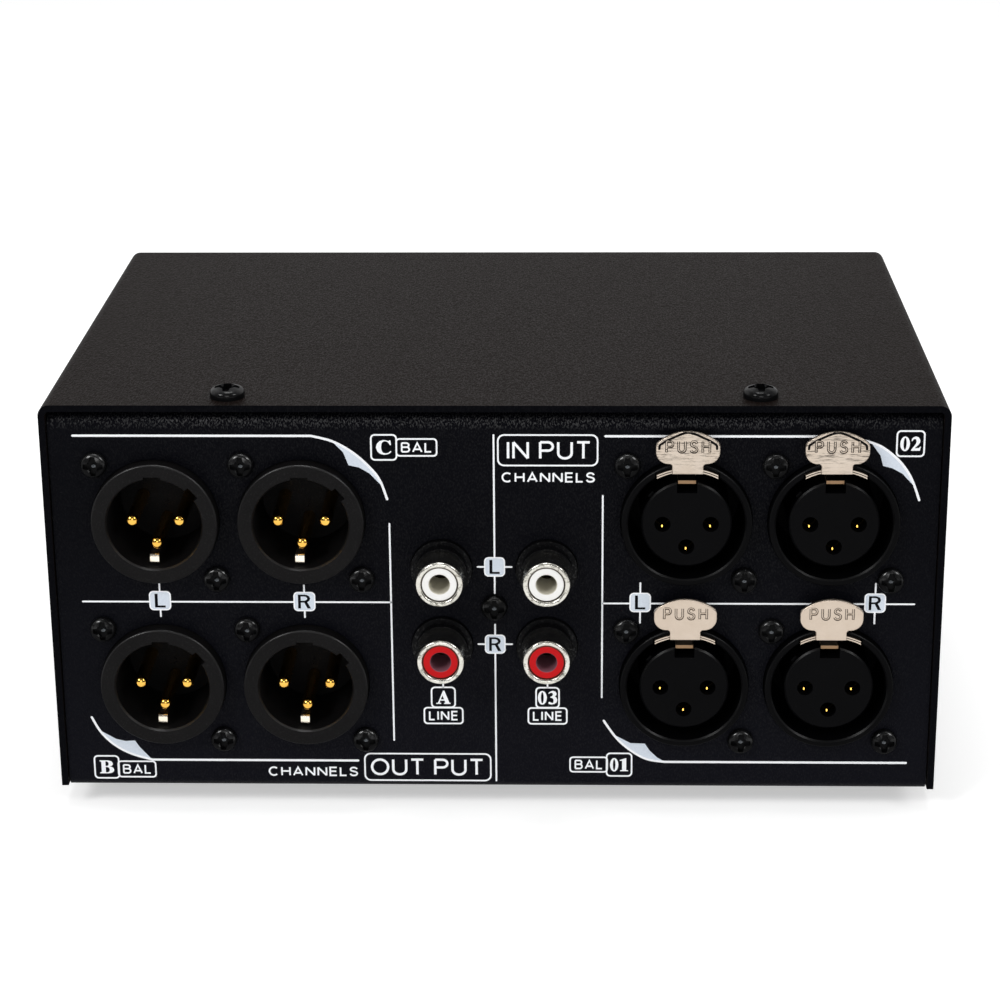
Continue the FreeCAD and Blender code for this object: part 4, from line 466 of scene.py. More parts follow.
add_finishes(metal, {
    "gold": ((0.68, 0.34, 0.045), (0.96, 0.59, 0.13), 0.13, {}),
    # The contacts' gold is painted dark, as painted shade deep in their holes
    "contact_gold_painted_dark": ((0.010, 0.007, 0.003), (0.030, 0.020, 0.008), 0.4, {}),
    "tongue_plating": ((0.85, 0.74, 0.55), (0.98, 0.92, 0.82), 0.18, {}),
    "latch_nickel": (
        (0.47, 0.385, 0.305), (0.62, 0.53, 0.445), 0.36, dict(along=90, depth=5e-6)),
    "scratched_nickel": (
        (0.45, 0.37, 0.29), (0.66, 0.58, 0.50), 0.36,
        dict(along=420, across=4600, cut=0.5, depth=1.6e-5, dirt=(0.012, 0.010, 0.008),
             thumbed=(0.0672, 0.0692))),
    # Tarnish in the stamp's lips, and painted shade on the top of the strip
    "tarnish_and_painted_shade": ((0.035, 0.030, 0.024), (0.11, 0.09, 0.07), 0.6, dict(metallic=0.5)),
    # Black dirt in the older tabs' lips, painted shade on the strip, a painted dark reflection in
    # the rim groove
    "black_dirt_and_painted_shade": (
        (0.002, 0.002, 0.002), (0.008, 0.007, 0.006), 0.5, dict(metallic=0.0, specular=0.05)),
    "strip_edge": ((0.20, 0.125, 0.07), (0.33, 0.21, 0.12), 0.4, {}),
    "sleeve_nickel": (
        (0.44, 0.42, 0.36), (0.82, 0.81, 0.76), 0.2,
        dict(along=1500, across=1900, cut=0.52, depth=1.2e-5, dirt=(0.12, 0.11, 0.08))),
    "control_case": ((0.42, 0.42, 0.42), (0.60, 0.60, 0.59), 0.38, {}),
    "control_steel": ((0.55, 0.54, 0.52), (0.70, 0.69, 0.66), 0.25, {}),
    "set_screw_steel": ((0.03, 0.03, 0.03), (0.07, 0.07, 0.075), 0.35, {}),
    "knob_black": (
        (0.012, 0.012, 0.013), (0.022, 0.022, 0.023), 0.32,
        dict(along=300, across=300, metallic=0.6)),
    "front_plate": (
        (0.010, 0.010, 0.011), (0.018, 0.018, 0.019), 0.4,
        dict(along=12, across=4200, cut=0.5, depth=4e-6, metallic=0.4)),
})

# %% [markdown]
# The screws are black zinc. Their heads shine only where they look up, the cross recess
# is black, and a bright glint is painted into the middle of it, on the slanting wall of
# the pit that looks up. The glint could be one more piece, but the slant and the depth of
# the pit's wall find it on the screws of the CAD model themselves.

# %% Finish the screws
PIT_OUT = (0.05606, 0.05596)


def worn_screw(name, dark, light, rough, gloss, gloss_rough, spot=None):
    """Black zinc with a lit dome, a black recess and a painted glint in its middle."""
    material, tree, shader = start_material(name, (0.003, 0.003, 0.003), rough, specular=0.04)
    smudge = place_group(tree, handled)["Smudge"]
    turn = place_group(tree, facing)
    vary_colour(tree, shader, smudge, dark, light)
    if spot:
        pit = step(tree, split(tree, in_metres(tree))["Y"], *PIT_OUT)
        lay_over(tree, shader, times(tree, times(tree, turn["Cone"], pit), turn["Up"]), spot)
    shine = times(tree, turn["Up"], maths(tree, "SUBTRACT", 1.0, turn["Flat"]))
    patchy = times(tree, step(tree, smudge, 0.4, 0.6, floor=0.1), gloss)
    add_gloss(tree, shader, times(tree, shine, patchy), gloss_rough, ior=1.7)
    return material


ZINC = ((0.002, 0.002, 0.0022), (0.005, 0.005, 0.0055), 0.3)
add_finishes(worn_screw, {
    # The spot colour is a painted glint on the upward wall of the pit
    "black_screw": (*ZINC, dict(gloss=1.0, gloss_rough=0.22, spot=(0.24, 0.26, 0.28))),
    "top_screw": (*ZINC, dict(gloss=0.3, gloss_rough=0.14)),
})

# %% [markdown]
# The plastics are sockets, the phono block, the two kinds of insulator, the feet, the
# board, its headers and the ribbon. They share the moulded group and differ in colour,
# in shine and in how coarse the pits are, so a table of values serves here too.

# %% Finish the plastics and rubber
PIT_ROUGHNESS = 0.07
# Painted shade in the gap between an insulator's rim and its sleeve
RIM_GAP_SHADE = (0.10, 0.07, 0.05)


def plastic(name, dark, light, rough, pit=0.00015, depth=1e-5, specular=0.5, edge=0.0,
            specks=0.0):
    """A moulded plastic whose tone drifts, with shine on its upper edges and on specks."""
    material, tree, shader = start_material(name, light, rough, specular=specular)
    outputs = place_group(tree, moulded, Pit=pit)
    vary_colour(tree, shader, outputs["Drift"], dark, light)
    vary_roughness(tree, shader, outputs["Pits"], rough - PIT_ROUGHNESS, rough + PIT_ROUGHNESS)
    add_bump(tree, shader, outputs["Pits"], depth)
    if edge or specks:
        turn = place_group(tree, facing)
        lit_edge = times(tree, times(tree, turn["Edge"], turn["Up"]), edge)
        lit_speck = times(tree, outputs["Specks"], specks)
        add_gloss(tree, shader, maths(tree, "ADD", lit_edge, lit_speck), 0.3, ior=1.7)
    return material


def insulator(name, dark, light, rough, hole, specular):
    """A phono insulator: coloured plastic, a hole painted grey as shade, a rim painted as gap
    shade.
    """
    material = plastic(name, dark, light, rough, depth=4e-6, specular=specular)
    tree = material.node_tree
    shader = tree.nodes["Principled BSDF"]
    outputs = place_group(tree, zones)
    # Painted shade: the dark of the rim and the grey of the hole stand for shade
    lay_over(tree, shader, outputs["Rim"], RIM_GAP_SHADE)
    lay_over(tree, shader, outputs["Hole"], hole)
    return material


add_finishes(plastic, {
    "shell_plastic": (
        (0.0032, 0.0030, 0.0032), (0.0068, 0.0063, 0.0065), 0.5,
        dict(pit=0.0003, depth=7e-5, specular=0.065, edge=0.7, specks=0.10)),
    "socket_plastic": (
        (0.0009, 0.0009, 0.0011), (0.0017, 0.0017, 0.0021), 0.42,
        dict(pit=0.0003, depth=2e-5, specular=0.035, edge=0.22)),
    "block_plastic": (
        (0.0014, 0.0014, 0.0017), (0.0034, 0.0034, 0.0040), 0.4,
        dict(pit=0.0003, depth=7e-5, specular=0.06, edge=0.25, specks=0.45)),
    "foot_rubber": (
        (0.012, 0.012, 0.012), (0.020, 0.020, 0.020), 0.75, dict(pit=0.0003, depth=3e-5)),
    "board_green": ((0.012, 0.085, 0.035), (0.020, 0.12, 0.05), 0.3, dict(pit=0.0006)),
    "header_plastic": ((0.010, 0.010, 0.010), (0.016, 0.016, 0.016), 0.5, {}),
    "ribbon_grey": ((0.28, 0.28, 0.29), (0.36, 0.36, 0.37), 0.55, {}),
})
add_finishes(insulator, {
    "white_insulator": (
        (0.85, 0.845, 0.82), (0.90, 0.895, 0.875), 0.3,
        dict(hole=(0.61, 0.58, 0.48), specular=0.3)),
    "red_insulator": (
        (0.46, 0.006, 0.008), (0.55, 0.009, 0.012), 0.3,
        dict(hole=(0.22, 0.09, 0.115), specular=0.08)),
})

# %% [markdown]
# Each node of the CAD model names the kind of material it is made of. That name picks
# its finish here, and a few pieces get a finer one of the same kind, because their wear
# or their place in the dark makes them look different.

# %% Give every node its finish
finish_of = {piece["node"]: piece["material_slot"] for piece in frame["record"]["subparts"]}
finish_of.update({name: "shell_plastic" for name in nodes if name.endswith("_shell")})
finish_of.update(
    output_ground_tongues="tongue_plating", input_contacts="contact_gold_painted_dark",
    phono_contacts="contact_gold_painted_dark", cover_top_screws="top_screw")
for name, piece in nodes.items():
    for slot in piece.material_slots:
        slot.material = finishes[finish_of[name]]
print("finishes:", len(finishes), "on", len(nodes), "nodes")

# %% [markdown]
# Screen ink is a thin skin of paint. It could be a picture laid on the panel, but a
# picture blurs from close by. So each mark is drawn as a flat outline, filled with
# triangles and given a real thickness of a few hundredths of a millimetre. It catches
# the light at its edge and never flickers against the coat under it.

# %% Make helpers for flat outlines
INK_UNDER = -0.02
INK_TOP = 0.035
LINE = 0.42
THIN = 0.31


def add_shape(mesh, outline, holes=(), under=INK_UNDER, top=INK_TOP):
    """Adds a thin closed plate with that outline, and holes, to a mesh in a side's own mm."""
    loops = [outline, *holes]
    flat = [[Vector((x, y, 0)) for x, y in loop] for loop in loops]
    points = [p for loop in loops for p in loop]
    back = [mesh.verts.new((x, y, under)) for x, y in points]
    front = [mesh.verts.new((x, y, top)) for x, y in points]
    for a, b, c in tessellate_polygon(flat):
        mesh.faces.new((front[a], front[b], front[c]))
        mesh.faces.new((back[c], back[b], back[a]))
    start = 0
    for loop in loops:
        for i in range(len(loop)):
            a, b = start + i, start + (i + 1) % len(loop)
            mesh.faces.new((front[a], back[a], back[b], front[b]))
        start += len(loop)


def smooth(points, steps=6):
    """A soft curve through the points."""
    padded = [points[0], *points, points[-1]]
    curve = []
    for i in range(1, len(padded) - 2):
        p = [Vector(q) for q in padded[i - 1:i + 3]]
        for k in range(steps):
            t = k / steps
            curve.append(0.5 * (2 * p[1] + (p[2] - p[0]) * t
                                + (2 * p[0] - 5 * p[1] + 4 * p[2] - p[3]) * t ** 2
                                + (3 * p[1] - p[0] - 3 * p[2] + p[3]) * t ** 3))
    return [(v.x, v.y) for v in curve] + [points[-1]]


def stroke(points, width=LINE, cap=5):
    """The outline of a line of even width with round ends."""
    line = [Vector(p) for p in points]
    ways = [(b - a).normalized() for a, b in zip(line, line[1:])]
    sides = []
    for i, p in enumerate(line):
        before, after = ways[max(i - 1, 0)], ways[min(i, len(ways) - 1)]
        middle = (before + after).normalized()
        reach = width / 2 / max(middle.dot(after), 0.5)
        sides.append(Vector((-middle.y, middle.x)) * reach)
    left = [p + s for p, s in zip(line, sides)]
    right = [p - s for p, s in zip(line, sides)]

    def end(centre, start):
        turns = [Matrix.Rotation(-math.pi * k / cap, 2) for k in range(1, cap)]
        return [centre + turn @ start for turn in turns]

    outline = left + end(line[-1], sides[-1]) + right[::-1] + end(line[0], -sides[0])
    return [(v.x, v.y) for v in outline]


def rounded_box(centre, width, height, radius, steps=5):
    """The outline of a box with round corners."""
    outline = []
    for corner, (sx, sy) in enumerate(((1, 1), (-1, 1), (-1, -1), (1, -1))):
        cx, cy = centre[0] + sx * (width / 2 - radius), centre[1] + sy * (height / 2 - radius)
        for k in range(steps + 1):
            angle = math.pi / 2 * (corner + k / steps)
            outline.append((cx + radius * math.cos(angle), cy + radius * math.sin(angle)))
    return outline


def add_frame(mesh, centre, width, height, radius=0.8, line=0.29, top=INK_TOP):
    """Adds an empty box with a line round it."""
    outer = rounded_box(centre, width, height, radius)
    inner = rounded_box(centre, width - 2 * line, height - 2 * line, radius - line * 0.8)
    add_shape(mesh, outer, [inner], top=top)


def finish_mesh(mesh, name, matrix, material, body="root"):
    """Turns the drawn plates into an object on one side of the box."""
    bmesh.ops.recalc_face_normals(mesh, faces=mesh.faces)
    mesh.transform(matrix)
    data = bpy.data.meshes.new(name)
    mesh.to_mesh(data)
    mesh.free()
    data.materials.append(material)
    piece = bpy.data.objects.new(name, data)
    bpy.context.collection.objects.link(piece)
    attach(piece, body)
    print(name, "faces:", len(data.polygons))
    return piece


print("ink stands", INK_TOP, "mm above the coat")

# %% [markdown]
# Blender has text objects, but their letters come from a font, and this panel has letters
# of its own. Those in the small boxes are bold ones with feet, so their outlines are drawn
# on a grid of one by one. The bare ones are left out of a filled box.

# %% Draw the bold letters
SERIF = {
    "A": ([(0, 0), (0.36, 0), (0.36, 0.07), (0.25, 0.1), (0.3, 0.25), (0.6, 0.25),
           (0.66, 0.1), (0.56, 0.07), (0.56, 0), (1.04, 0), (1.04, 0.07), (0.95, 0.1),
           (0.6, 1), (0.5, 1), (0.14, 0.12), (0.1, 0.08), (0, 0.07)],
          [[(0.34, 0.34), (0.57, 0.34), (0.457, 0.64)]]),
    "B": ([(0, 0), (0.55, 0), (0.76, 0.05), (0.87, 0.15), (0.9, 0.28), (0.86, 0.42),
           (0.75, 0.5), (0.64, 0.53), (0.76, 0.58), (0.83, 0.68), (0.83, 0.8),
           (0.76, 0.92), (0.64, 0.98), (0.5, 1), (0, 1), (0, 0.93), (0.11, 0.89),
           (0.11, 0.11), (0, 0.07)],
          [[(0.37, 0.57), (0.37, 0.92), (0.46, 0.92), (0.54, 0.86), (0.57, 0.74),
            (0.54, 0.62), (0.46, 0.57)],
           [(0.37, 0.08), (0.37, 0.49), (0.48, 0.49), (0.58, 0.43), (0.62, 0.29),
            (0.59, 0.15), (0.49, 0.08)]]),
    "C": ([(0.82, 1), (0.85, 0.66), (0.78, 0.66), (0.72, 0.81), (0.62, 0.91), (0.51, 0.94),
           (0.39, 0.89), (0.32, 0.75), (0.29, 0.5), (0.32, 0.26), (0.4, 0.12), (0.54, 0.07),
           (0.69, 0.12), (0.82, 0.25), (0.87, 0.2), (0.77, 0.07), (0.62, 0), (0.45, -0.02),
           (0.25, 0.03), (0.08, 0.2), (0, 0.48), (0.05, 0.74), (0.2, 0.94), (0.42, 1.02),
           (0.58, 1), (0.7, 0.94), (0.76, 1)], []),
    "0": ([(0.33 + 0.32 * math.cos(a / 8 * math.pi), 0.49 + 0.52 * math.sin(a / 8 * math.pi))
           for a in range(16)],
          [[(0.33 + 0.1 * math.cos(a / 6 * math.pi), 0.49 + 0.43 * math.sin(a / 6 * math.pi))
            for a in range(12)]]),
    "1": ([(0.06, 0), (0.56, 0), (0.56, 0.06), (0.44, 0.09), (0.44, 1), (0.39, 1),
           (0.04, 0.86), (0.04, 0.79), (0.18, 0.81), (0.18, 0.09), (0.06, 0.06)], []),
    "2": ([(0.02, 0), (0.58, 0), (0.65, 0.29), (0.59, 0.29), (0.51, 0.19), (0.24, 0.18),
           (0.44, 0.38), (0.57, 0.56), (0.59, 0.74), (0.5, 0.93), (0.31, 1.01), (0.15, 0.96),
           (0.05, 0.84), (0.02, 0.69), (0.08, 0.68), (0.14, 0.79), (0.24, 0.84),
           (0.32, 0.8), (0.35, 0.66), (0.3, 0.48), (0.02, 0.07)], []),
    "3": ([(0.02, 0.84), (0.13, 0.96), (0.3, 1.02), (0.47, 0.96), (0.55, 0.81), (0.52, 0.68),
           (0.43, 0.59), (0.54, 0.5), (0.59, 0.35), (0.55, 0.16), (0.41, 0.03), (0.2, -0.02),
           (0.04, 0.03), (0.01, 0.12), (0.08, 0.19), (0.18, 0.14), (0.27, 0.09), (0.33, 0.13),
           (0.35, 0.27), (0.33, 0.4), (0.25, 0.48), (0.14, 0.5), (0.14, 0.56), (0.25, 0.62),
           (0.31, 0.72), (0.29, 0.83), (0.2, 0.88), (0.11, 0.84), (0.06, 0.78)], []),
}
BARE = {
    "L": ([(0, 0), (0.62, 0), (0.62, 0.15), (0.18, 0.15), (0.18, 1), (0, 1)], []),
    "R": ([(0, 0), (0.17, 0), (0.17, 0.42), (0.37, 0.42), (0.56, 0), (0.77, 0), (0.56, 0.45),
           (0.68, 0.55), (0.74, 0.71), (0.68, 0.88), (0.54, 0.97), (0.4, 1), (0, 1)],
          [[(0.17, 0.56), (0.17, 0.86), (0.38, 0.86), (0.5, 0.82), (0.56, 0.71),
            (0.5, 0.61), (0.38, 0.56)]]),
}
print("bold letters:", *SERIF, "and bare ones:", *BARE)

# %% Make helpers for bold letters
LETTER_SHARE = {"L": 0.5, "R": 0.6}
LETTER_TALL = 0.74
LABEL_CORNER = 0.75


def fit(loop, glyph, centre, width, height, nudge=0.0):
    """A letter's loop, scaled from its own grid into a box in mm."""
    xs = [x for x, _ in glyph[0]]
    span, low = max(xs) - min(xs), min(xs)
    return [(centre[0] + nudge + ((x - low) / span - 0.5) * width, centre[1] + (y - 0.5) * height)
            for x, y in loop]


def add_letters(mesh, text, centre, width, height, gap=0.25):
    """Adds bold letters with feet side by side."""
    each = (width - gap * (len(text) - 1)) / len(text)
    for i, letter in enumerate(text):
        nudge = (i - (len(text) - 1) / 2) * (each + gap)
        glyph = SERIF[letter]
        loops = [fit(loop, glyph, centre, each, height, nudge) for loop in (glyph[0], *glyph[1])]
        add_shape(mesh, loops[0], loops[1:])


def add_label(mesh, letter, centre, width, height):
    """Adds a filled box with a letter left bare in it."""
    glyph = BARE[letter]
    loops = [fit(loop, glyph, centre, width * LETTER_SHARE[letter], height * LETTER_TALL)
             for loop in (glyph[0], *glyph[1])]
    add_shape(mesh, rounded_box(centre, width, height, LABEL_CORNER), [loops[0]])
    for counter in loops[1:]:
        add_shape(mesh, counter)


print("labels hold", *LETTER_SHARE)

# %% [markdown]
# A plain letter is a few strokes of even width. Its outline could be drawn as well, but
# only the middle lines of its strokes are kept, and a pen width turns them into paint,
# so that one set of lines serves every size and weight.

# %% Draw the plain letters


def arc(x, y, across, up, first, last, steps=10):
    """Points on part of an ellipse, between two angles in degrees."""
    angles = [math.radians(first + (last - first) * k / steps) for k in range(steps + 1)]
    return [(x + across * math.cos(a), y + up * math.sin(a)) for a in angles]


# Each plain letter: its width for a height of one, and its strokes in a box of one by one
PLAIN = {
    "A": (0.72, [[(0, 0), (0.5, 1), (1, 0)], [(0.16, 0.29), (0.84, 0.29)]]),
    "B": (0.62, [[(0, 0), (0, 1)], [(0, 1), *arc(0.6, 0.765, 0.34, 0.235, 90, -90), (0, 0.53)],
                 [(0.1, 0.53), *arc(0.64, 0.265, 0.36, 0.265, 90, -90), (0, 0)]]),
    "C": (0.72, [arc(0.52, 0.5, 0.52, 0.5, 48, 312, 18)]),
    "E": (0.54, [[(1, 1), (0, 1), (0, 0), (1, 0)], [(0, 0.52), (0.92, 0.52)]]),
    "H": (0.66, [[(0, 0), (0, 1)], [(1, 0), (1, 1)], [(0, 0.52), (1, 0.52)]]),
    "I": (0.0, [[(0, 0), (0, 1)]]),
    "L": (0.48, [[(0, 1), (0, 0), (1, 0)]]),
    "M": (0.82, [[(0, 0), (0, 1)], [(0, 1), (0.5, 0.1), (1, 1)], [(1, 0), (1, 1)]]),
    "N": (0.68, [[(0, 0), (0, 1)], [(0, 1), (1, 0)], [(1, 0), (1, 1)]]),
    "O": (0.8, [arc(0.5, 0.5, 0.5, 0.5, 90, 270), arc(0.5, 0.5, 0.5, 0.5, 270, 450)]),
    "P": (0.6, [[(0, 0), (0, 1)], [(0, 1), *arc(0.62, 0.74, 0.38, 0.26, 90, -90), (0, 0.48)]]),
    "S": (0.6, [smooth([(0.95, 0.8), (0.8, 0.94), (0.5, 1), (0.2, 0.94), (0.06, 0.76), (0.18, 0.6),
                        (0.5, 0.52), (0.84, 0.42), (0.97, 0.25), (0.82, 0.06), (0.5, 0),
                        (0.18, 0.05), (0, 0.22)], 3)]),
    "T": (0.6, [[(0, 1), (1, 1)], [(0.5, 0), (0.5, 1)]]),
    "U": (0.64, [[(0, 1), *arc(0.5, 0.32, 0.5, 0.32, 180, 360), (1, 1)]]),
    "V": (0.7, [[(0, 1), (0.5, 0), (1, 1)]]),
    "0": (0.5, [arc(0.5, 0.5, 0.5, 0.5, 90, 270), arc(0.5, 0.5, 0.5, 0.5, 270, 450)]),
    "1": (0.28, [[(0, 0.76), (0.9, 1), (0.9, 0)]]),
    "2": (0.5, [[(0.03, 0.72), *arc(0.5, 0.72, 0.47, 0.28, 165, -20), (0, 0), (1, 0)]]),
    "3": (0.5, [arc(0.46, 0.765, 0.46, 0.235, 160, -90), arc(0.46, 0.265, 0.54, 0.265, 90, -160)]),
    "4": (0.54, [[(0.74, 0), (0.74, 1)], [(0.7, 1), (0, 0.3), (1, 0.3)]]),
    "5": (0.5, [[(0.92, 1), (0.14, 1), (0.06, 0.5), *arc(0.48, 0.32, 0.52, 0.32, 125, -155)]]),
    "6": (0.5, [[(0.86, 0.98), (0.3, 0.74), *arc(0.5, 0.31, 0.5, 0.31, 165, 345)],
                arc(0.5, 0.31, 0.5, 0.31, -15, 165)]),
    "7": (0.5, [[(0, 1), (1, 1), (0.36, 0)]]),
    "8": (0.5, [arc(0.5, 0.76, 0.42, 0.24, 90, 270), arc(0.5, 0.76, 0.42, 0.24, 270, 450),
                arc(0.5, 0.26, 0.5, 0.26, 90, 270), arc(0.5, 0.26, 0.5, 0.26, 270, 450)]),
    "9": (0.5, [[(0.14, 0.02), (0.7, 0.26), *arc(0.5, 0.69, 0.5, 0.31, -15, 165)],
                arc(0.5, 0.69, 0.5, 0.31, 165, 345)]),
    " ": (0.08, []),
}
print("plain letters and numbers:", len(PLAIN) - 1)

# %% Make a helper for words
STROKE_STEP = 0.003


def add_word(mesh, text, centre, width, height, pen=0.42, gap=0.4, under=INK_UNDER, top=INK_TOP):
    """Adds a plain word that fills a box. Strokes that cross lie a hair apart in height."""
    tall = height - pen
    room = width - pen * len(text) - gap * (len(text) - 1)
    natural = sum(PLAIN[letter][0] for letter in text)
    widths = [PLAIN[letter][0] * room / natural + pen for letter in text]
    left = centre[0] - width / 2
    low = centre[1] - tall / 2
    for letter, wide in zip(text, widths):
        for k, line in enumerate(PLAIN[letter][1]):
            points = [(left + pen / 2 + x * (wide - pen), low + y * tall) for x, y in line]
            add_shape(mesh, stroke(points, pen, cap=1), under=under - k * STROKE_STEP,
                      top=top - k * STROKE_STEP)
        left += wide + gap


print("crossing strokes lie", STROKE_STEP, "mm apart")

# %% [markdown]
# The rear print is a frame round each group of sockets with two curled corners, small
# boxes that name the groups, and labels for left and right. The words on it are plain
# ones: they say what the sockets are for and nothing else. Each mark could be an object,
# but a real panel is printed with one screen for each ink, so there is one mesh for the
# white ink and one for the pale ink.

# %% Mix the inks


def ink(name, thin, full):
    """A matt ink that shows the grain of the coat under it."""
    material, tree, shader = start_material(name, full, 0.5, specular=0.3)
    height = place_group(tree, grain, Cell=0.0003)["Height"]
    vary_colour(tree, shader, height, thin, full)
    add_bump(tree, shader, height, 2e-5)
    return material


white_ink = ink("white_ink", (0.84, 0.86, 0.89), (0.97, 0.98, 1.0))
pale_ink = ink("pale_ink", (0.58, 0.64, 0.72), (0.72, 0.78, 0.86))
print("inks:", white_ink.name, pale_ink.name)

# %% Draw the lines
rear = bmesh.new()
pale = bmesh.new()
LINES = (
    ((-73.2, 36.5), (-61.3, 36.5)), ((-57.5, 36.5), (-35.6, 36.5)), ((-31.8, 36.5), (-18.3, 36.5)),
    ((-18.3, 51.4), (-18.3, 9.6)), ((-59.4, 39.9), (-59.4, 38.6)), ((-59.4, 34.9), (-59.4, 33.7)),
    ((-33.7, 39.7), (-33.7, 38.5)), ((-33.7, 34.7), (-33.7, 33.6)),
    ((19.2, 36.4), (24.0, 36.4)), ((27.6, 36.4), (65.4, 36.4)), ((69.0, 36.4), (74.1, 36.4)),
    ((19.1, 56.7), (19.1, 18.2)), ((25.8, 40.3), (25.8, 38.4)), ((25.8, 34.7), (25.8, 32.7)),
    ((67.2, 40.3), (67.2, 38.5)), ((67.2, 34.8), (67.2, 32.7)),
    ((0.1, 67.9), (0.1, 45.0)), ((0.1, 41.4), (0.1, 38.3)),
    ((0.1, 32.3), (0.1, 30.4)), ((0.1, 26.7), (0.1, 1.6)),
    ((-2.9, 43.3), (-1.6, 43.3)), ((2.0, 43.3), (3.1, 43.3)),
    ((-2.9, 28.5), (-1.6, 28.5)), ((2.0, 28.5), (3.1, 28.5)),
    ((-9.3, 22.6), (-9.3, 20.1)), ((9.4, 22.6), (9.4, 20.1)),
)
for points in LINES:
    add_shape(rear, stroke(points, THIN))
print("lines:", len(LINES))

# %% [markdown]
# At four corners the line runs on as a curve, and the sheet seems to curl up inside it.
# The curve could be an arc, but the real one tightens towards its end, so it goes softly
# through a few measured points, and the pale flap follows the same curve.

# %% Curl the corners
FLAP_TOP = INK_TOP - 0.004
FLAP_FROM = 1.5
CURLS = (
    ((-73.2, 67.7),
     [(-31.6, 67.7), (-27.9, 66.7), (-24.5, 64.7), (-21.6, 62.0), (-19.8, 59.5), (-18.6, 56.0)],
     [(-19.4, 58.4), (-21.6, 60.8), (-23.4, 61.9), (-25.2, 62.3), (-26.1, 64.7), (-27.9, 66.6)]),
    ((19.5, 67.7),
     [(61.8, 67.7), (65.7, 66.5), (67.9, 65.4), (70.6, 63.0), (72.6, 60.0), (74.1, 56.0)],
     [(73.0, 58.7), (71.0, 60.9), (69.2, 61.9), (67.6, 62.3), (67.1, 64.2), (65.6, 66.3)]),
    ((-24.9, 5.5),
     [(-62.3, 5.5), (-66.1, 6.7), (-69.1, 8.5), (-71.4, 11.0), (-72.9, 13.9)],
     [(-71.4, 11.2), (-68.7, 9.6), (-67.0, 9.2), (-65.3, 9.3), (-64.5, 8.0), (-62.5, 5.7)]),
    ((73.9, 5.5),
     [(30.6, 5.5), (27.4, 6.0), (24.7, 7.5), (22.3, 9.6), (20.7, 11.7), (19.5, 13.6)],
     [(21.6, 10.7), (24.3, 9.2), (26.9, 9.1), (27.8, 7.7), (29.1, 6.4), (30.4, 5.6)]),
)
for start, curve, flap in CURLS:
    bend = smooth(curve)
    add_shape(rear, stroke([start, *bend]))
    inside = [p for p in bend if (Vector(p) - Vector(bend[0])).length > FLAP_FROM]
    add_shape(pale, inside[:-3] + flap, top=FLAP_TOP)
print("curled corners:", len(CURLS))

# %% [markdown]
# Left and right are pale boxes with a bare letter, and each group has a number or letter
# in a box beside a plain word. A helper could place each of them, but a table of centres
# and sizes in millimetres is shorter and can be checked against the photograph.

# %% Label left and right
LABEL_HEIGHT = 3.6
LABEL_LINE_TOP = INK_TOP + 0.005
LABELS = (
    ("L", (-59.4, 36.7), 3.8), ("R", (-33.7, 36.6), 3.8), ("L", (25.8, 36.6), 3.7),
    ("R", (67.2, 36.6), 3.7), ("L", (0.1, 43.3), 3.6), ("R", (0.1, 28.5), 3.6),
)
for letter, centre, width in LABELS:
    add_label(pale, letter, centre, width, LABEL_HEIGHT)
    add_frame(rear, centre, width + 0.1, LABEL_HEIGHT + 0.1, line=0.22, top=LABEL_LINE_TOP)
print("labels:", len(LABELS))

# %% Name the groups
LETTER_HEIGHT = 2.6
SMALL_WORD_HEIGHT = 1.9
SMALL_WORD_MARGIN = 1.9
NAMES = (
    ("C", (-19.0, 65.6), (4.7, 4.9), 2.7, "BAL", (-13.3, 65.6), (7.3, 3.4)),
    ("B", (-70.7, 4.0), (4.7, 4.7), 2.6, "BAL", (-65.2, 3.6), (7.1, 3.4)),
    ("A", (-9.3, 18.1), (4.5, 4.2), 2.6, "LINE", (-9.3, 14.5), (7.2, 3.4)),
    ("03", (9.4, 18.1), (4.4, 4.2), 3.5, "LINE", (9.4, 14.5), (7.2, 3.4)),
    ("02", (72.2, 66.4), (5.0, 4.9), 3.6, "", None, None),
    ("01", (22.3, 4.9), (4.8, 4.8), 3.3, "BAL", (16.8, 4.9), (7.0, 3.2)),
)
for letters, centre, size, span, word, word_centre, word_size in NAMES:
    add_frame(rear, centre, *size)
    add_letters(rear, letters, centre, span, LETTER_HEIGHT)
    if word:
        add_frame(rear, word_centre, *word_size, radius=0.7, top=FLAP_TOP)
        add_word(rear, word, word_centre, word_size[0] - SMALL_WORD_MARGIN, SMALL_WORD_HEIGHT,
                 pen=0.3, gap=0.34)
print("groups:", *[name[0] for name in NAMES])

# %% Write the words and print both inks
add_frame(rear, (9.5, 65.1), 17.6, 5.9, radius=1.2)
add_word(rear, "IN PUT", (9.7, 65.1), 14.6, 3.4, pen=0.44, gap=0.5)
add_word(rear, "CHANNELS", (9.6, 60.1), 16.3, 1.9, pen=0.31, gap=0.38)
add_frame(rear, (-12.3, 4.25), 23.1, 5.6, radius=1.2)
add_word(rear, "OUT PUT", (-12.4, 4.25), 20.5, 3.4, pen=0.45, gap=0.48)
add_word(rear, "CHANNELS", (-33.1, 3.3), 16.3, 1.9, pen=0.31, gap=0.38)
finish_mesh(rear, "rear_print", REAR, white_ink)
finish_mesh(pale, "rear_labels", REAR, pale_ink)
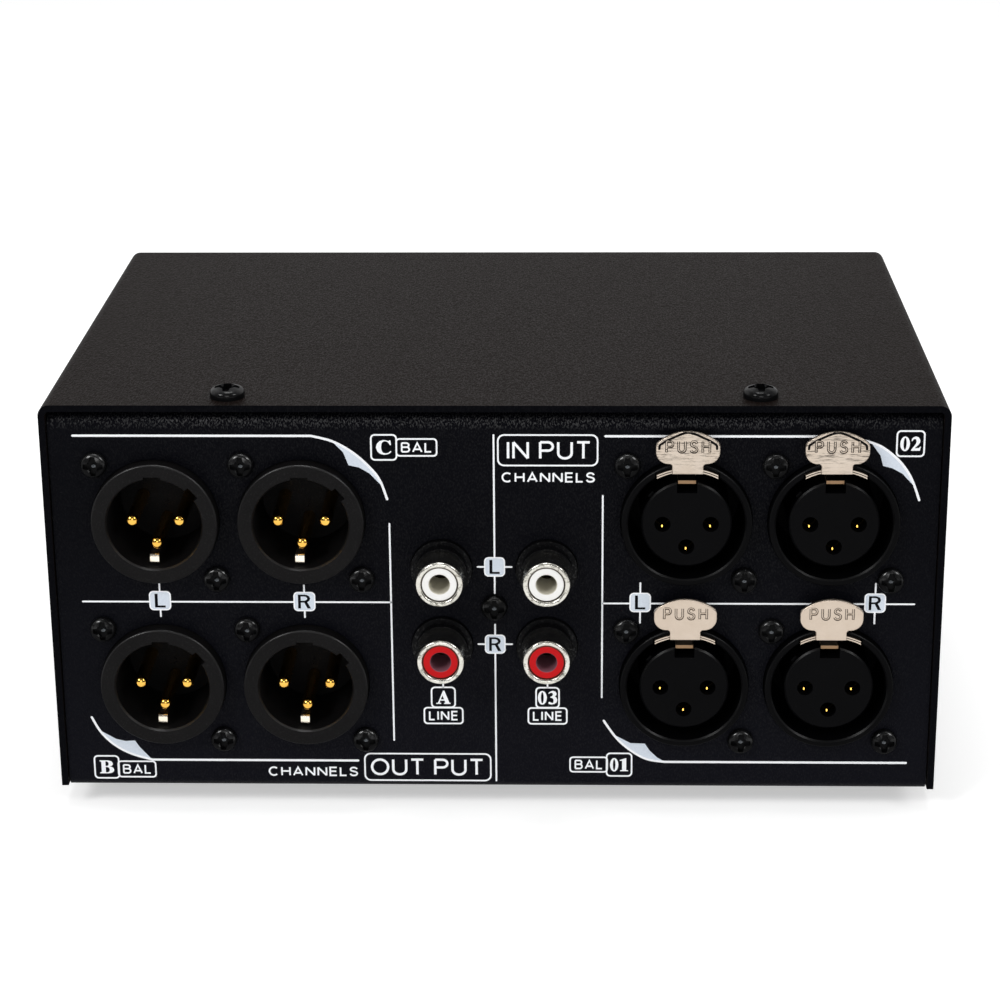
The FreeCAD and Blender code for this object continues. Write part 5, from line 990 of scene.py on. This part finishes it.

# %% [markdown]
# Each input socket has a sprung tab that is pressed to let the plug go. PUSH is stamped
# into it. A bump could fake that, but a cut has real walls that hold shadow and dirt:
# strokes are taken out of a copy of the tab, and the copy stands for the CAD node and
# moves with the same body. Each stroke has a wide shallow lip, where dirt stays, and a
# narrow deeper groove that is rubbed bright. The upper tabs are the older, scratched
# ones and have a curved groove under their rim, painted black as a painted dark
# reflection. The top of the strip that reaches into the socket is painted dark, as
# painted shade.

# %% Measure the stamp
ROWS_UP = (52.0, 20.9)
COLUMNS_ACROSS = (33.7, 59.4)
STAMP_SIZE = (7.45, 2.0)
STAMP_STEP = 0.95
STAMP_LIP = (0.46, 0.06)
STAMP_GROOVE = (0.2, 0.16)
TAB_FACE = 2.9
TAB_WORD_UP = 14.75
SHOULDER_FACE = 2.3
SHOULDER = [(5.35, 9.0), (4.8, 9.26), (4.27, 9.48), (3.74, 9.67), (3.19, 9.85), (2.66, 10.0)]
SHOULDER_GROOVE = (0.15, 0.15)
RIM_HALF = [(4.97, 14.4), (4.9, 15.0), (4.68, 15.22), (4.2, 15.55), (3.8, 15.82), (3.35, 16.07),
            (2.9, 16.27), (1.5, 16.93)]
RIM_GROOVE = (0.42, 0.14)
STRIP_HALF = 1.7
STRIP_UP = (7.0, 9.5)
PLATING, DIRT_AND_SHADE, CUT_EDGE = 0, 1, 2

rim_line = RIM_HALF + [(0, 17.35)] + [(-x, y) for x, y in reversed(RIM_HALF)]
print("stamp strokes are", STAMP_LIP[0], "mm wide and", STAMP_GROOVE[1], "mm deep")

# %% Make the tool that stamps a tab


def at(points, centre, mirror=1):
    """Points that are given from the middle of a socket, moved to that socket."""
    return [(centre[0] + mirror * x, centre[1] + y) for x, y in points]


def paint_faces(mesh, first, slot):
    """Gives a material slot to all faces of a mesh from a number on."""
    mesh.faces.ensure_lookup_table()
    for face in mesh.faces[first:]:
        face.material_index = slot


def stamp_tool(centre, scratched):
    """The closed strokes that are taken out of one tab."""
    tool = bmesh.new()
    word_place = (centre[0], centre[1] + TAB_WORD_UP)
    for (pen, depth), slot in ((STAMP_LIP, DIRT_AND_SHADE), (STAMP_GROOVE, PLATING)):
        first = len(tool.faces)
        add_word(tool, "PUSH", word_place, STAMP_SIZE[0] + pen, STAMP_SIZE[1] + pen, pen=pen,
                 gap=STAMP_STEP - pen, under=TAB_FACE - depth, top=TAB_FACE + 1)
        paint_faces(tool, first, slot)
    first = len(tool.faces)
    if scratched:
        width, depth = RIM_GROOVE
        add_shape(tool, stroke(smooth(at(rim_line, centre), 4), width),
                  under=TAB_FACE - depth, top=TAB_FACE + 1)
    width, depth = SHOULDER_GROOVE
    for mirror in (1, -1):
        add_shape(tool, stroke(at(SHOULDER, centre, mirror), width, cap=2),
                  under=SHOULDER_FACE - depth, top=SHOULDER_FACE + 0.3)
    paint_faces(tool, first, DIRT_AND_SHADE)
    return tool


print("tab face at", TAB_FACE, "mm and its shoulders at", SHOULDER_FACE, "mm")

# %% Stamp the release tabs


def stamp_tab(name, centre, scratched):
    """A copy of one tab with its word stamped in."""
    plating = finishes["scratched_nickel" if scratched else "latch_nickel"]
    cutter = finish_mesh(stamp_tool(centre, scratched), "stamp_" + name, REAR, plating)
    tab = nodes[name].copy()
    tab.data = nodes[name].data.copy()
    tab.data.materials.clear()
    tab.data.materials.append(plating)
    for mesh in (cutter.data, tab.data):
        mesh.materials.append(finishes["black_dirt_and_painted_shade" if scratched else "tarnish_and_painted_shade"])
        mesh.materials.append(finishes["strip_edge"])
    tab.name = name + "_stamped"
    bpy.context.collection.objects.link(tab)
    cut = tab.modifiers.new("stamp", "BOOLEAN")
    cut.operation = "DIFFERENCE"
    cut.object = cutter
    cut.use_self = True
    graph = bpy.context.evaluated_depsgraph_get()
    tab.data = bpy.data.meshes.new_from_object(tab.evaluated_get(graph))
    tab.modifiers.clear()
    bpy.data.objects.remove(cutter)

    # The top of the strip that reaches into the socket is painted dark as the shade under the
    # housing, and its end is raw
    for face in tab.data.polygons:
        place = REAR.inverted() @ face.center
        on_strip = STRIP_UP[0] < place.y - centre[1] < STRIP_UP[1]
        if on_strip and abs(place.x - centre[0]) < STRIP_HALF:
            if face.normal.z > 0.5:
                face.material_index = DIRT_AND_SHADE
            elif face.normal.y > 0.5:
                face.material_index = CUT_EDGE
    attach(tab, nodes[name]["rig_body"])
    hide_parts(name)
    print(tab.name, "faces:", len(nodes[name].data.polygons), "to", len(tab.data.polygons))


for row, up in zip("21", ROWS_UP):
    for column, across in zip(("left", "right"), COLUMNS_ACROSS):
        stamp_tab(f"input_{row}_{column}_latch", (across, up), scratched=row == "2")

# %% [markdown]
# The floor of each male socket carries small raised numbers beside its three pins. A
# bump could fake them, but it would have no sides. They are moulded with the socket, so
# they have its plastic and stand up a fifth of a millimetre from the floor.

# %% Raise the pin numbers
SOCKET_FLOOR = -12.8
NUMBER_PEN = 0.25
NUMBER_PLACES = (("2", -4.2, 2.6), ("1", 4.2, 2.6), ("3", 0, -1.6))
numbers = bmesh.new()
for up in ROWS_UP:
    for across in reversed(COLUMNS_ACROSS):
        for digit, x, y in NUMBER_PLACES:
            add_word(numbers, digit, (x - across, up + y), PLAIN[digit][0] * 1.1 + NUMBER_PEN,
                     1.35, pen=NUMBER_PEN, under=SOCKET_FLOOR - 0.1, top=SOCKET_FLOOR + 0.2)
pin_numbers = finish_mesh(numbers, "pin_numbers", REAR, finishes["shell_plastic"])

# %% [markdown]
# Each contact of a female socket has a small sprung leaf that grips the pin. A gold tube
# would shine all round, but only the end of the leaf catches the light, as a gold point
# low in a black hole. So the gold tube is painted dark, as painted shade, and a slanting
# leaf stands in it.

# %% Set the leaves of the socket contacts
LEAF_OUT = (-3.0, -0.6)
LEAF_SIZE = (0.24, 0.4)
LEAF_CORNER = 0.1
LEAF_BOTTOM = -1.33
LEAF_SLOPE = 0.38
CONTACTS = ((-4.2, 0.0), (4.2, 0.0), (0.0, -4.2))
leaves = bmesh.new()
for up in ROWS_UP:
    for across in COLUMNS_ACROSS:
        for x, y in CONTACTS:
            middle = (across + x, up + y + LEAF_BOTTOM + LEAF_SIZE[1] / 2)
            first = len(leaves.verts)
            add_shape(leaves, rounded_box(middle, *LEAF_SIZE, LEAF_CORNER, steps=3),
                      under=LEAF_OUT[0], top=LEAF_OUT[1])
            leaves.verts.ensure_lookup_table()
            for point in leaves.verts[first:]:
                point.co.z -= (point.co.y - middle[1]) * LEAF_SLOPE
contact_leaves = finish_mesh(leaves, "contact_leaves", REAR, finishes["gold"])

# %% [markdown]
# The front is not in the photograph. It could stay bare, but nobody could then tell the
# knobs apart. It gets what such a box needs and no more: a ring of numbers for the
# volume, three places for each selector and plain words, with the helpers of the rear.

# %% Draw the front print
CONTROL_UP = 36.7
SELECTOR_ACROSS = 50
FRONT_PEN = 0.36
FRONT_HEIGHT = 2.2
TICK_PEN = 0.4
NUMBER_TICK, NUMBER_REACH = (21.2, 22.8), 25.2
PLACE_TICK, PLACE_REACH = (12.3, 13.7), 16.2
WORD_DROP = 21.5


def add_place(mesh, centre, turn, mark, tick, reach):
    """Adds one place of a dial: a short line and its mark, at an angle in degrees."""
    way = Vector((math.cos(math.radians(turn)), math.sin(math.radians(turn))))
    add_shape(mesh, stroke([centre + way * tick[0], centre + way * tick[1]], TICK_PEN))
    wide = sum(PLAIN[letter][0] * 1.8 + FRONT_PEN for letter in mark) + 0.5 * (len(mark) - 1)
    add_word(mesh, mark, centre + way * reach, wide, FRONT_HEIGHT, pen=FRONT_PEN)


front = bmesh.new()
for number in range(11):
    add_place(front, Vector((0, CONTROL_UP)), 240 - 30 * number, str(number), NUMBER_TICK,
              NUMBER_REACH)
for across, marks, word in (
        (-SELECTOR_ACROSS, "123", "INPUT"), (SELECTOR_ACROSS, "ABC", "OUTPUT")):
    centre = Vector((across, CONTROL_UP))
    for mark, turn in zip(marks, (120, 90, 60)):
        add_place(front, centre, turn, mark, PLACE_TICK, PLACE_REACH)
    add_word(front, word, centre - Vector((0, WORD_DROP)), 2.15 * len(word), FRONT_HEIGHT,
             pen=FRONT_PEN)
add_word(front, "VOLUME", (0, 6.2), 13.0, FRONT_HEIGHT, pen=FRONT_PEN)
finish_mesh(front, "front_print", FRONT, white_ink)

# %% [markdown]
# Each knob has a slot milled into its face from the rim, as a pointer. A white line could
# be printed on the face, but a slot keeps its paint when hands rub the knob. So a strip
# of paint lies on the slot's floor, and it rides on the knob's body to turn with it.

# %% Paint the pointers
POINTER_HALF = 0.55
POINTER_LENGTH = 5.9
POINTER_FLOOR = -1.0
POINTER_PAINT = 0.06
KNOBS = (("volume_knob", 0, 18.4), ("input_knob", -SELECTOR_ACROSS, 9.9),
         ("output_knob", SELECTOR_ACROSS, 9.9))
for name, across, radius in KNOBS:
    knob_face = side((1, 0, 0), (0, -1, 0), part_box(name)[0].y / MM)
    strip = [(across + x * POINTER_HALF, CONTROL_UP + radius - y * POINTER_LENGTH)
             for x, y in ((-1, 1), (1, 1), (1, 0), (-1, 0))]
    pointer = bmesh.new()
    add_shape(pointer, strip, under=POINTER_FLOOR + INK_UNDER, top=POINTER_FLOOR + POINTER_PAINT)
    finish_mesh(pointer, name + "_pointer", knob_face, white_ink, nodes[name]["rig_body"])

# %% [markdown]
# The studio is a pale floor, a soft lamp on each side, one overhead and one before the
# panel. The floor could be lit until it is white, but that would wash out the black
# paint too. So the floor and the air look white only to the camera and in reflections,
# while what lights the object stays at a plain level and shows colours as written.

# %% Build the floor
FLOOR_HALF = 3.0
FLOOR_GLOW = 0.45
floor_data = bpy.data.meshes.new("floor")
corners = [(x * FLOOR_HALF, y * FLOOR_HALF, 0) for x, y in ((-1, -1), (1, -1), (1, 1), (-1, 1))]
floor_data.from_pydata(corners, [], [(0, 1, 2, 3)])
floor = bpy.data.objects.new("floor", floor_data)
bpy.context.collection.objects.link(floor)
floor_paint = bpy.data.materials.new("floor_paint")
floor_paint.use_nodes = True
tree = floor_paint.node_tree
tree.nodes.clear()
path = node(tree, "LightPath").outputs
seen = maths(tree, "MAXIMUM", path["Is Camera Ray"], path["Is Glossy Ray"])
white = node(tree, "Emission", {"Color": (1, 1, 1, 1), "Strength": times(tree, seen, FLOOR_GLOW)})
matt = node(tree, "BsdfDiffuse", {"Color": (0.82, 0.82, 0.82, 1)})
both = node(tree, "AddShader", {0: matt.outputs[0], 1: white.outputs[0]})
node(tree, "OutputMaterial", {"Surface": both.outputs[0]})
floor_data.materials.append(floor_paint)
print("floor:", 2 * FLOOR_HALF, "m wide")

# %% Fill the room with air
ROOM_LEVEL = 0.15
AIR_LEVEL = 0.4
world = bpy.data.worlds.new("studio_air")
bpy.context.scene.world = world
world.use_nodes = True
tree = world.node_tree
tree.nodes.clear()
path = node(tree, "LightPath").outputs
way = split(tree, node(tree, "TexCoord").outputs["Generated"])
room = node(tree, "MapRange", {
    "Value": way["Y"], "From Min": -0.25, "From Max": 0.45, "To Min": 1.0,
    "To Max": ROOM_LEVEL}, interpolation_type="SMOOTHSTEP").outputs["Result"]
plain = node(tree, "Mix", {"Factor": path["Is Glossy Ray"], "A": AIR_LEVEL, "B": room})
seen = maths(tree, "MAXIMUM", path["Is Camera Ray"], path["Is Transmission Ray"])
level = node(tree, "Mix", {"Factor": seen, "A": plain.outputs["Result"], "B": 1.0})
air = node(tree, "Background", {"Color": (1, 1, 1, 1), "Strength": level.outputs["Result"]})
node(tree, "OutputWorld", {"Surface": air.outputs[0]})
print("air lights the object at", AIR_LEVEL)

# %% Light the studio
LAMPS = (
    ("left_softbox", (0.75, 0.75, 0.85), (0, 0, 0.04), 0.4, 6.0),
    ("right_softbox", (-0.85, 0.55, 0.8), (0, 0, 0.04), 0.35, 3.0),
    ("overhead_softbox", (0, -0.1, 1.3), (0, 0, 0.04), 0.5, 5.0),
    ("front_softbox", (-0.05, 1.25, 0.45), (-0.03, 0.05, 0.04), 0.5, 2.5),
)
for name, place, target, size, power in LAMPS:
    lamp = bpy.data.lights.new(name, "AREA")
    lamp.size = size
    lamp.energy = power
    stand = bpy.data.objects.new(name, lamp)
    stand.location = place
    look = Vector(target) - Vector(place)
    stand.rotation_euler = look.to_track_quat("-Z", "Y").to_euler()
    bpy.context.collection.objects.link(stand)
bpy.context.scene.view_settings.view_transform = "Standard"
print("lamps:", *[lamp[0] for lamp in LAMPS])
